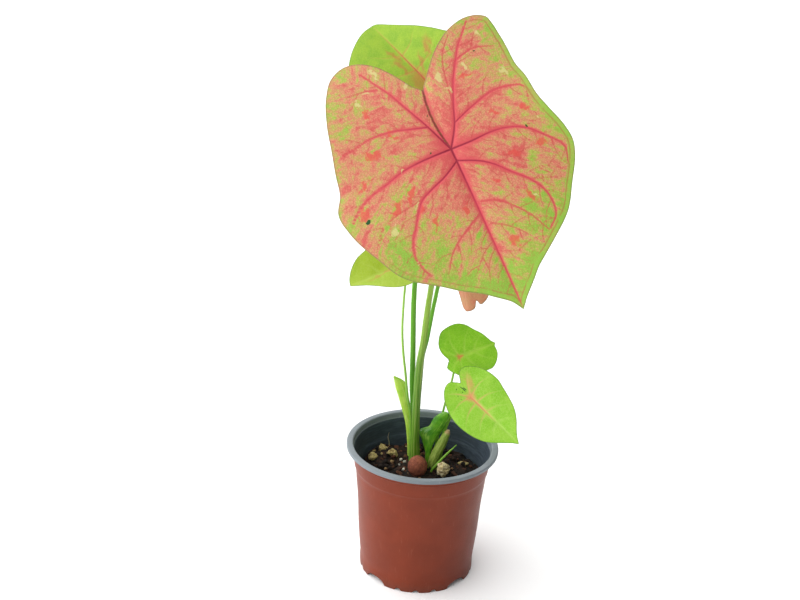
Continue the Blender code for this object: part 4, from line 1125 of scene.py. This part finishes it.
def make_soil(looks):
    """The soil: a crumbly disc that fills the pot. Its top is the smooth level with four sizes of lumps."""
    top = np.linspace(0, SOIL_RADIUS, 120)
    sides = np.linspace(66, SKIRT, 14)
    section = np.concatenate([np.stack([top, 0 * top + SOIL_LEVEL], axis=1),
                              np.stack([wall_radius(sides) - WALL - GAP, sides], axis=1),
                              [(38.2, 6.7), (23.6, 6.7), (21.2, 1.7), (0, 1.7)]])
    grid = turned(section[:, :1], section[:, 1:], full_turn(360))
    spot = grid * (1, 1, 0)
    crumbs = (0.8 * np.abs(lumps(spot, 3.1, 1)) + 0.45 * np.abs(lumps(spot, 1.3, 2))
              + 0.8 * lumps(spot, 7.0, 3) + 0.2 * lumps(spot, 0.7, 5))
    rows = slice(0, len(top))
    grid[rows, :, 2] = soil_height(grid[rows, :, 0], grid[rows, :, 1]) + crumbs[rows] - 0.2
    keep(body("soil_skin", grid, soil_finish(looks), lump=crumbs), "potting_soil", "soil")


def icosphere():
    """A ball of 80 triangles: a twenty-sided solid whose faces are split once."""
    golden = (1 + math.sqrt(5)) / 2
    points = [(-1, golden, 0), (1, golden, 0), (-1, -golden, 0), (1, -golden, 0),
              (0, -1, golden), (0, 1, golden), (0, -1, -golden), (0, 1, -golden),
              (golden, 0, -1), (golden, 0, 1), (-golden, 0, -1), (-golden, 0, 1)]
    faces = np.array([(0, 11, 5), (0, 5, 1), (0, 1, 7), (0, 7, 10), (0, 10, 11), (1, 5, 9), (5, 11, 4),
                      (11, 10, 2), (10, 7, 6), (7, 1, 8), (3, 9, 4), (3, 4, 2), (3, 2, 6), (3, 6, 8),
                      (3, 8, 9), (4, 9, 5), (2, 4, 11), (6, 2, 10), (8, 6, 7), (9, 8, 1)])
    points = unit(np.array(points, float))
    sides = np.sort(np.concatenate([faces[:, [0, 1]], faces[:, [1, 2]], faces[:, [2, 0]]]), axis=1)
    edges, index = np.unique(sides, axis=0, return_inverse=True)
    middles = unit(points[edges].mean(axis=1))
    ab, bc, ca = index.reshape(3, -1) + len(points)
    a, b, c = faces.T
    corners = ((a, ab, ca), (b, bc, ab), (c, ca, bc), (ab, bc, ca))
    return np.concatenate([points, middles]), np.concatenate([np.stack(t, axis=1) for t in corners])


def make_crumbs(looks):
    """Loose crumbs, bark chips and short fibres on the soil: small balls, each stretched, turned and dented
    by chance, with a shade of its own."""
    draw = np.random.default_rng(11)
    ball, faces = icosphere()
    count = looks.crumbs
    away = (SOIL_RADIUS - 1.0) * np.sqrt(draw.uniform(0, 1, count))
    turn = draw.uniform(0, 2 * np.pi, count)
    x, y = away * np.cos(turn), away * np.sin(turn)
    size = 0.5 + 1.5 * draw.uniform(0, 1, count) ** 2.2
    kind = draw.uniform(0, 1, count)
    kinds = (kind >= 0.9, kind > 0.62)
    shape = np.stack([size * np.select(kinds, shares[:2], shares[2])
                      for shares in ((2.4, 1.7, 1.1), (0.22, 1.0, 1.0), (0.2, 0.35, 0.8))], axis=1)
    spin, tilt = draw.uniform(0, 2 * np.pi, count), draw.normal(0, 0.45, count)
    c, s, ct, st = (v[:, None] for v in (np.cos(spin), np.sin(spin), np.cos(tilt), np.sin(tilt)))
    px, py, pz = np.moveaxis(ball[None] * shape[:, None], -1, 0)
    px, pz = px * ct - pz * st, px * st + pz * ct
    tipped = np.stack([px * c - py * s, px * s + py * c, pz], axis=-1)
    centre = np.stack([x, y, soil_height(x, y) + 0.45 + 0.45 * shape[:, 2]], axis=1)
    points = tipped + centre[:, None]
    points += 0.28 * size[:, None, None] * tipped / 1.5 * lumps(points, 1.2, 6)[..., None]
    out = np.hypot(points[..., 0], points[..., 1])
    points[..., :2] *= np.minimum(1, (SOIL_RADIUS + 0.1) / out)[..., None]
    index = faces[None] + (np.arange(count) * len(ball))[:, None, None]
    marks = {"shade": np.repeat(draw.uniform(0, 1, count), len(ball))}
    points, index = points.reshape(-1, 3), index.reshape(-1, 3)
    piece = mesh_piece("soil_crumbs", points, [index], crumb_finish(looks), marks)
    piece.data.shade_flat()
    keep(piece, "potting_soil")


def make_root_thread():
    """One pale root that lies on the pot's inner wall."""
    path = smooth_path(((-23.5, 35.5, 70.5), (-23.2, 36.6, 74), (-24.2, 37.0, 78), (-23.6, 37.6, 82)), 14)
    radius = np.linspace(0.35, 0.12, len(path))
    radius[[0, -1]] = 0.0
    grid = path[:, None] + circles_along(path, 10)[0] * radius[:, None, None]
    f = Finish("pale_root")
    grain = f.speckle(1.5)
    colour = f.mix(grain, paint(206, 196, 168), paint(150, 134, 104))
    keep(body("root_thread", grid, f.wear(colour, 0.6 + 0.2 * grain, grain, 0.0001)), "pale_shoot")


def soil_finish(looks):
    """Damp potting soil: brown lumps with painted shade that makes the hollows between them nearly black, and
    pale specks.
    """
    f = Finish("potting_soil_finish", specular_ior_level=0.3)
    crumb = f.speckle(1.1, 4.0, 0.7)
    # Painted shade: the low places between the lumps take the nearly black colour.
    colour = f.over(looks.hollow, looks.lump, f.mark("lump") + 0.8 * (crumb - 0.5), 0.1, 1.3)
    colour = f.over(colour, looks.chip, f.speckle(0.16, 3.0, 0.6), 0.5, 0.7, 0.5)
    colour = f.over(colour, paint(150, 120, 86), f.cells(f.place(), 0.9, "F1"), 0.12, 0.05, 0.6)
    return f.wear(colour, 0.75 + 0.2 * crumb, crumb, 0.0006)


def crumb_finish(looks):
    """Crumbs from black-brown to reddish bark and a few straw-coloured fibres."""
    f = Finish("soil_crumb_finish", specular_ior_level=0.3)
    grain = f.speckle(1.6, 4.0, 0.7)
    colour = f.ramp(f.mark("shade"), ((0.0, looks.hollow), (0.45, looks.lump), (0.72, looks.chip),
                                      (0.93, paint(110, 70, 46)), (1.0, paint(160, 132, 92))))
    colour = f.tinted(colour, 0.55 + 0.9 * grain)
    return f.wear(colour, 0.7 + 0.25 * grain, grain, 0.0005)


def face_vectors(mesh, key):
    """A vector of every face of a mesh, such as its normal."""
    values = np.empty(3 * len(mesh.polygons))
    mesh.polygons.foreach_get(key, values)
    return values.reshape(-1, 3)


def middle_and_size(node):
    """The middle and the size of a node's box, in millimetres."""
    low, high = (np.array(corner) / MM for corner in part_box(node))
    return (low + high) / 2, high - low


def make_stone(node, finish, slot, seed):
    """A broken stone. In each direction its surface lies where the nearest face of the CAD stone is, with
    edges softened by a smooth minimum, and is roughened inwards by noise."""
    mesh = frame["nodes"][node].data
    normals = face_vectors(mesh, "normal")
    centre, size = middle_and_size(node)
    size = size.mean()
    offsets = ((face_vectors(mesh, "center") / MM - centre) * normals).sum(axis=1)
    ways = ball_ways(36, 56)
    facing = ways @ normals.T
    reach = np.where(facing > 0.05, offsets / np.maximum(facing, 0.05), 1e3)
    sharp = 60 / size
    nearest = reach.min(axis=-1)
    soft = nearest - np.log(np.exp(-sharp * (reach - nearest[..., None])).sum(axis=-1)) / sharp * 0.7
    grid = centre + ways * soft[..., None]
    rough = sum(share * np.abs(lumps(grid, size * scale, seed + step))
                for step, (share, scale) in enumerate(((1.0, 0.30), (0.8, 0.14), (0.4, 0.06))))
    grid = centre + ways * (soft - STONE_ROUGHNESS * size * rough)[..., None]
    # The depth of the roughness is kept to paint shade into the hollows.
    keep(body(f"{node}_skin", grid, finish, hollow=rough), slot, node)


def stone_finish(slot, light, mid, dark, grain_size=1.2):
    """Crumbly mineral: pale faces, with a dark colour painted as shade in the hollows and as darker grains.
    """
    f = Finish(f"{slot}_finish")
    grain = f.speckle(grain_size, 4.0, 0.8)
    cloud = f.speckle(0.3, 3.0, 0.6)
    colour = f.over(paint(*light), paint(*mid), cloud + 0.5 * (grain - 0.5), 0.35, 0.65)
    # Painted shade: the dark colour fills the hollows, broken up by darker grain.
    colour = f.over(colour, paint(*dark), f.mark("hollow") + 2.0 * (grain - 0.5), 0.5, 1.3, 0.85)
    return f.wear(colour, 0.75 + 0.2 * grain, grain, 0.0005)


def make_clay_ball(finish):
    """The fired clay ball: a lumpy ball with round pits, at places spread by chance over it."""
    centre, size = middle_and_size("clay_ball")
    ways = ball_ways(70, 110)
    draw = np.random.default_rng(5)
    pits = unit(draw.normal(size=(PITS, 3)))
    wide = draw.uniform(0.05, 0.13, PITS)
    near = np.arccos(np.clip(ways @ pits.T, -1, 1)) / wide
    hollow = np.exp(-near ** 2).max(axis=-1)
    reach = 0.985 + 0.02 * lumps(ways, 0.35, 2) - 0.05 * hollow - 0.012 * np.abs(lumps(ways, 0.1, 3))
    grid = centre + ways * (size / 2) * reach[..., None]
    # The pits are kept to paint shade into them.
    keep(body("clay_ball_skin", grid, finish, hollow=hollow), "fired_clay", "clay_ball")


def tuber_finish():
    """The buried tuber: brown scaly skin in rings."""
    f = Finish("tuber_bark")
    rings = (f.height() * 2.2).sine()
    scales = f.speckle(0.45, 4.0, 0.7)
    colour = f.over(paint(84, 52, 34), paint(138, 96, 64), scales + 0.12 * rings, 0.35, 0.7)
    return f.wear(colour, 0.75 + 0.2 * scales, scales + 0.15 * rings, 0.001)


# Stage

FLOOR_REACH = 8000.0
FLOOR_LINES = 9
KEY_AIM = np.array([0.95, 0.40, -0.65])
SKY_LEAN = (-0.90, 0.55, 0.0)
CAMERA_PITCH = math.radians(21.07)
CAMERA_ROLL = math.radians(2.81)
CAMERA_PLACE = (-0.0204, -0.6811, 0.4621)


def make_floor(looks):
    """A wide pale floor."""
    edge = np.linspace(-FLOOR_REACH, FLOOR_REACH, FLOOR_LINES)
    x, y = (v.ravel() for v in np.meshgrid(edge, edge))
    index = np.arange(len(x)).reshape(FLOOR_LINES, FLOOR_LINES)
    quads = np.stack([index[:-1, :-1], index[:-1, 1:], index[1:, 1:], index[1:, :-1]], axis=-1)
    f = Finish("floor_paint", specular_ior_level=0.1)
    cloud = f.speckle(0.004, 3.0, 0.5)
    colour = f.mix(cloud, looks.floor, scaled(looks.floor, 0.98))
    finish = f.wear(colour, 0.8 + 0.1 * cloud, f.speckle(0.2, 2.0), 0.0001)
    mesh_piece("floor", np.stack([x, y, 0 * x], axis=1), [quads.reshape(-1, 4)], finish, {})


def looking(ahead, right, up, place=(0, 0, 0)):
    """The transform of a lamp or camera that looks ahead."""
    turn = np.eye(4)
    turn[:3] = np.transpose([right, up, -ahead, place])
    return Matrix(turn.tolist())


def make_lights(looks):
    """A soft key light from the front left, and light all round that is strongest at the left and behind. The
    backdrop that the camera sees is even."""
    lamp = bpy.data.lights.new("key", "SUN")
    lamp.angle = math.radians(looks.softness)
    lamp.energy = looks.key
    key = bpy.data.objects.new("key", lamp)
    aim = unit(KEY_AIM)
    right = unit(np.cross(aim, (0, 0, 1)))
    key.matrix_world = looking(aim, right, np.cross(right, aim))
    bpy.context.scene.collection.objects.link(key)
    world = bpy.data.worlds.new("studio")
    world.use_nodes = True
    nodes, links = world.node_tree.nodes, world.node_tree.links
    direction = nodes.new("ShaderNodeTexCoord")
    lean = nodes.new("ShaderNodeVectorMath")
    lean.operation = "DOT_PRODUCT"
    lean.inputs[1].default_value = scaled(SKY_LEAN, looks.sky)
    total = nodes.new("ShaderNodeMath")
    total.operation = "ADD"
    total.inputs[1].default_value = looks.sky
    lit = nodes.new("ShaderNodeMath")
    lit.operation = "MAXIMUM"
    lit.inputs[1].default_value = 0.0
    backdrop = nodes.new("ShaderNodeMix")
    backdrop.inputs["B"].default_value = looks.sky
    seen = nodes.new("ShaderNodeLightPath")
    background = nodes["Background"]
    background.inputs["Color"].default_value = (1.0, 1.0, 1.0, 1.0)
    for output, entry in ((direction.outputs["Generated"], lean.inputs[0]),
                          (lean.outputs["Value"], total.inputs[0]),
                          (total.outputs[0], lit.inputs[0]),
                          (lit.outputs[0], backdrop.inputs["A"]),
                          (seen.outputs["Is Camera Ray"], backdrop.inputs["Factor"]),
                          (backdrop.outputs[0], background.inputs["Strength"])):
        links.new(output, entry)
    bpy.context.scene.world = world
    bpy.context.scene.view_settings.view_transform = "Standard"


def make_camera():
    """The camera looks 21 degrees down along +Y, rolled by 2.8 degrees."""
    ahead = np.array([0.0, math.cos(CAMERA_PITCH), -math.sin(CAMERA_PITCH)])
    level = np.array([0.0, math.sin(CAMERA_PITCH), math.cos(CAMERA_PITCH)])
    across = np.array([1.0, 0.0, 0.0])
    c, s = math.cos(CAMERA_ROLL), math.sin(CAMERA_ROLL)
    lens = bpy.data.cameras.new("camera")
    lens.lens = 50.0
    lens.sensor_width = 36.0
    lens.clip_end = 30.0
    camera = bpy.data.objects.new("camera", lens)
    camera.matrix_world = looking(ahead, c * across + s * level, c * level - s * across, CAMERA_PLACE)
    bpy.context.scene.collection.objects.link(camera)
    bpy.context.scene.camera = camera


# Settings

def shade(name, description, colour):
    """A colour that the panel can change."""
    return FloatVectorProperty(name=name, description=description, subtype="COLOR", size=3, min=0.0, max=1.0,
                               default=colour)


class PotLooks(bpy.types.PropertyGroup):
    """Sizes and colours of the pot."""

    steps: IntProperty(name="Steps", description="Faces round the pot", default=400, min=64, max=800)
    outside: shade("Outside", "Terracotta plastic", paint(130, 52, 27))
    flange: shade("Flange", "Slate plastic of the flange", paint(130, 139, 145))
    inside: shade("Inside", "Dark inner side", paint(64, 74, 84))


class SoilLooks(bpy.types.PropertyGroup):
    """Amount and colours of the soil."""

    crumbs: IntProperty(name="Crumbs", description="Loose crumbs, chips and fibres", default=700, min=0,
                        max=2000)
    # The darkest soil colour, painted as shade in the soil's hollows and given to the darkest crumbs.
    hollow: shade("Hollows", "Darkest soil", paint(14, 10, 8))
    lump: shade("Lumps", "Brown soil", paint(42, 29, 21))
    chip: shade("Chips", "Reddish bark", paint(80, 48, 32))


class LeafLooks(bpy.types.PropertyGroup):
    """Colours of the pink blades."""

    pink: shade("Pink", "Round the veins", paint(226, 86, 94))
    crimson: shade("Crimson", "Cores of the veins", paint(204, 58, 80))
    green: shade("Green", "Outer green", paint(148, 204, 70))


class StageLooks(bpy.types.PropertyGroup):
    """Light and floor."""

    floor: shade("Floor", "Pale floor", (0.95, 0.955, 0.955))
    key: FloatProperty(name="Key light", description="Strength of the soft key light", default=1.9, min=0.0)
    softness: FloatProperty(name="Softness", description="Width of the key light in degrees", default=100.0,
                            min=0.0, max=180.0)
    sky: FloatProperty(name="Sky", description="Strength of the light all round", default=1.19, min=0.0)


# Operators

class MakePot(bpy.types.Operator):
    """Build the moulded pot"""

    bl_idname = "caladium.make_pot"
    bl_label = "Pot"

    def execute(self, context):
        make_pot(context.scene.caladium_pot)
        return {"FINISHED"}


class MakeSoil(bpy.types.Operator):
    """Fill the pot with soil and finish the tuber"""

    bl_idname = "caladium.make_soil"
    bl_label = "Soil"

    def execute(self, context):
        looks = context.scene.caladium_soil
        make_soil(looks)
        make_crumbs(looks)
        make_root_thread()
        tuber = frame["nodes"]["tuber"]
        finish = tuber_finish()
        for slot in tuber.material_slots:
            slot.material = finish
        return {"FINISHED"}


class MakeStones(bpy.types.Operator):
    """Lay the gravel, perlite, cream stone and clay ball"""

    bl_idname = "caladium.make_stones"
    bl_label = "Stones"

    def execute(self, context):
        finishes = {kind: stone_finish(*looks) for kind, looks in STONES.items()}
        for seed, node in enumerate(sorted(frame["nodes"])):
            kind = node.split("_")[0]
            if kind in STONES:
                make_stone(node, finishes[kind], STONES[kind][0], seed)
        # The darkest of the clay's colours is painted shade in its pits.
        make_clay_ball(stone_finish("fired_clay", (160, 90, 60), (132, 68, 46), (80, 42, 30)))
        return {"FINISHED"}


class MakeBlades(bpy.types.Operator):
    """Build the veined blades"""

    bl_idname = "caladium.make_blades"
    bl_label = "Blades"

    def execute(self, context):
        make_blade(FRONT, pink_blade_finish(context.scene.caladium_leaf), "pink_leaf")
        for leaf, slot, *looks in OTHER_BLADES:
            make_blade(leaf, green_blade_finish(*looks), slot)
        return {"FINISHED"}


class MakeStalks(bpy.types.Operator):
    """Build the leaves' stalks"""

    bl_idname = "caladium.make_stalks"
    bl_label = "Stalks"

    def execute(self, context):
        pale = stalk_finish("pale_stalk", (190, 212, 112), (132, 174, 44), (80, 132, 14))
        deep = stalk_finish("deep_stalk", (136, 196, 44), (98, 172, 20), (72, 140, 14))
        thin = stalk_finish("thin_stalk", (190, 222, 112), (148, 202, 72), (112, 172, 46))
        for leaf, finish in ((FRONT, pale), (BACK, deep), (LEFT, thin), (RIGHT, deep), (SMALL_UPPER, thin),
                             (SMALL_LOWER, thin)):
            make_petiole(leaf, finish)
        return {"FINISHED"}


class MakeShoots(bpy.types.Operator):
    """Build the cataphyll, the curled leaf, the stub and the offshoot"""

    bl_idname = "caladium.make_shoots"
    bl_label = "Shoots"

    def execute(self, context):
        finish = shoot_finish("cataphyll_skin_finish", 0.1, (226, 244, 140), (200, 236, 92), (172, 222, 66))
        both = (2.0, 2.0, 2.1, 2.2, 2.9, 3.7, 3.5, 0.4)
        make_sheath("cataphyll", (-7.5, 23.5),
                    ((-8.4, 23.8, 85), (-10.1, 24, 98), (-12.8, 23.5, 110), (-15.8, 22.6, 122.4),
                     (-17.8, 21.9, 128.4), (-22, 21, 134.6)), both, both, finish, "pale_shoot")
        finish = shoot_finish("curled_leaf_finish", 0.5, (170, 220, 88), (112, 186, 38), (72, 150, 24))
        make_sheath("curled_leaf", (4.6, 12.8),
                    ((4.6, 12.8, 81), (4.8, 12.8, 88), (6, 13, 93.5), (8.2, 13, 98.5), (11.3, 12.4, 104),
                     (14.3, 11.3, 109), (16.6, 10.3, 113.5)), (1.6, 1.6, 1.9, 4.4, 8.4, 4.4, 5.0, 4.4, 2.0),
                    (1.6, 1.6, 1.9, 3.6, 5.0, 5.6, 4.8, 3.2, 1.4), finish, "green_leaf")
        stub = rooted((8.3, 8.6), 3.6, ((8.7, 8.7, 77), (11.6, 9.2, 85), (15, 9.7, 93), (16.9, 9.7, 97.8),
                                        (17.7, 9.6, 100.6)))
        make_stem("stub", stub, (3.6, 3.7, 3.7, 3.6, 3.2, 2.4, 1.2), stub_finish(), "stub_skin", ribs=0.05)
        offshoot = ((6.9, 2.8, 60.0), (6.9, 2.8, SOIL_LEVEL), (8.2, 2.9, 73), (13, 3.6, 79.4),
                    (18.2, 4.2, 85.7), (23.8, 5, 91.8))
        finish = stalk_finish("offshoot_finish", (176, 214, 96), (132, 190, 54), (100, 160, 40))
        make_stem("offshoot", offshoot, (0.8, 0.8, 0.85, 0.8, 0.7, 0.3), finish, "green_stalk", sides=16)
        return {"FINISHED"}


class MakeStage(bpy.types.Operator):
    """Set the pale floor, the soft light and the camera"""

    bl_idname = "caladium.make_stage"
    bl_label = "Stage"

    def execute(self, context):
        looks = context.scene.caladium_stage
        make_floor(looks)
        make_lights(looks)
        make_camera()
        return {"FINISHED"}


class CaladiumPanel(bpy.types.Panel):
    """The steps of the potted caladium, and its settings"""

    bl_idname = "VIEW3D_PT_caladium"
    bl_label = "Potted Caladium"
    bl_space_type = "VIEW_3D"
    bl_region_type = "UI"
    bl_category = "Caladium"

    def draw(self, context):
        for step in STEPS:
            self.layout.operator(step.bl_idname)
        for group, label in SETTINGS:
            box = self.layout.box()
            box.label(text=label)
            looks = getattr(context.scene, group)
            for key in looks.__annotations__:
                box.prop(looks, key)


STEPS = (MakePot, MakeSoil, MakeStones, MakeStalks, MakeShoots, MakeBlades, MakeStage)
SETTINGS = (("caladium_pot", "Pot"), ("caladium_soil", "Soil"), ("caladium_leaf", "Leaves"),
            ("caladium_stage", "Stage"))
GROUPS = (PotLooks, SoilLooks, LeafLooks, StageLooks)


def register():
    for kind in (*GROUPS, *STEPS, CaladiumPanel):
        bpy.utils.register_class(kind)
    for (name, _), group in zip(SETTINGS, GROUPS):
        setattr(bpy.types.Scene, name, PointerProperty(type=group))


def unregister():
    for name, _ in SETTINGS:
        delattr(bpy.types.Scene, name)
    for kind in reversed((*GROUPS, *STEPS, CaladiumPanel)):
        bpy.utils.unregister_class(kind)


def main():
    """Run every step."""
    register()
    for step in STEPS:
        getattr(bpy.ops.caladium, step.bl_idname.split(".")[1])()
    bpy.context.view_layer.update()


if __name__ == "__main__":
    main()
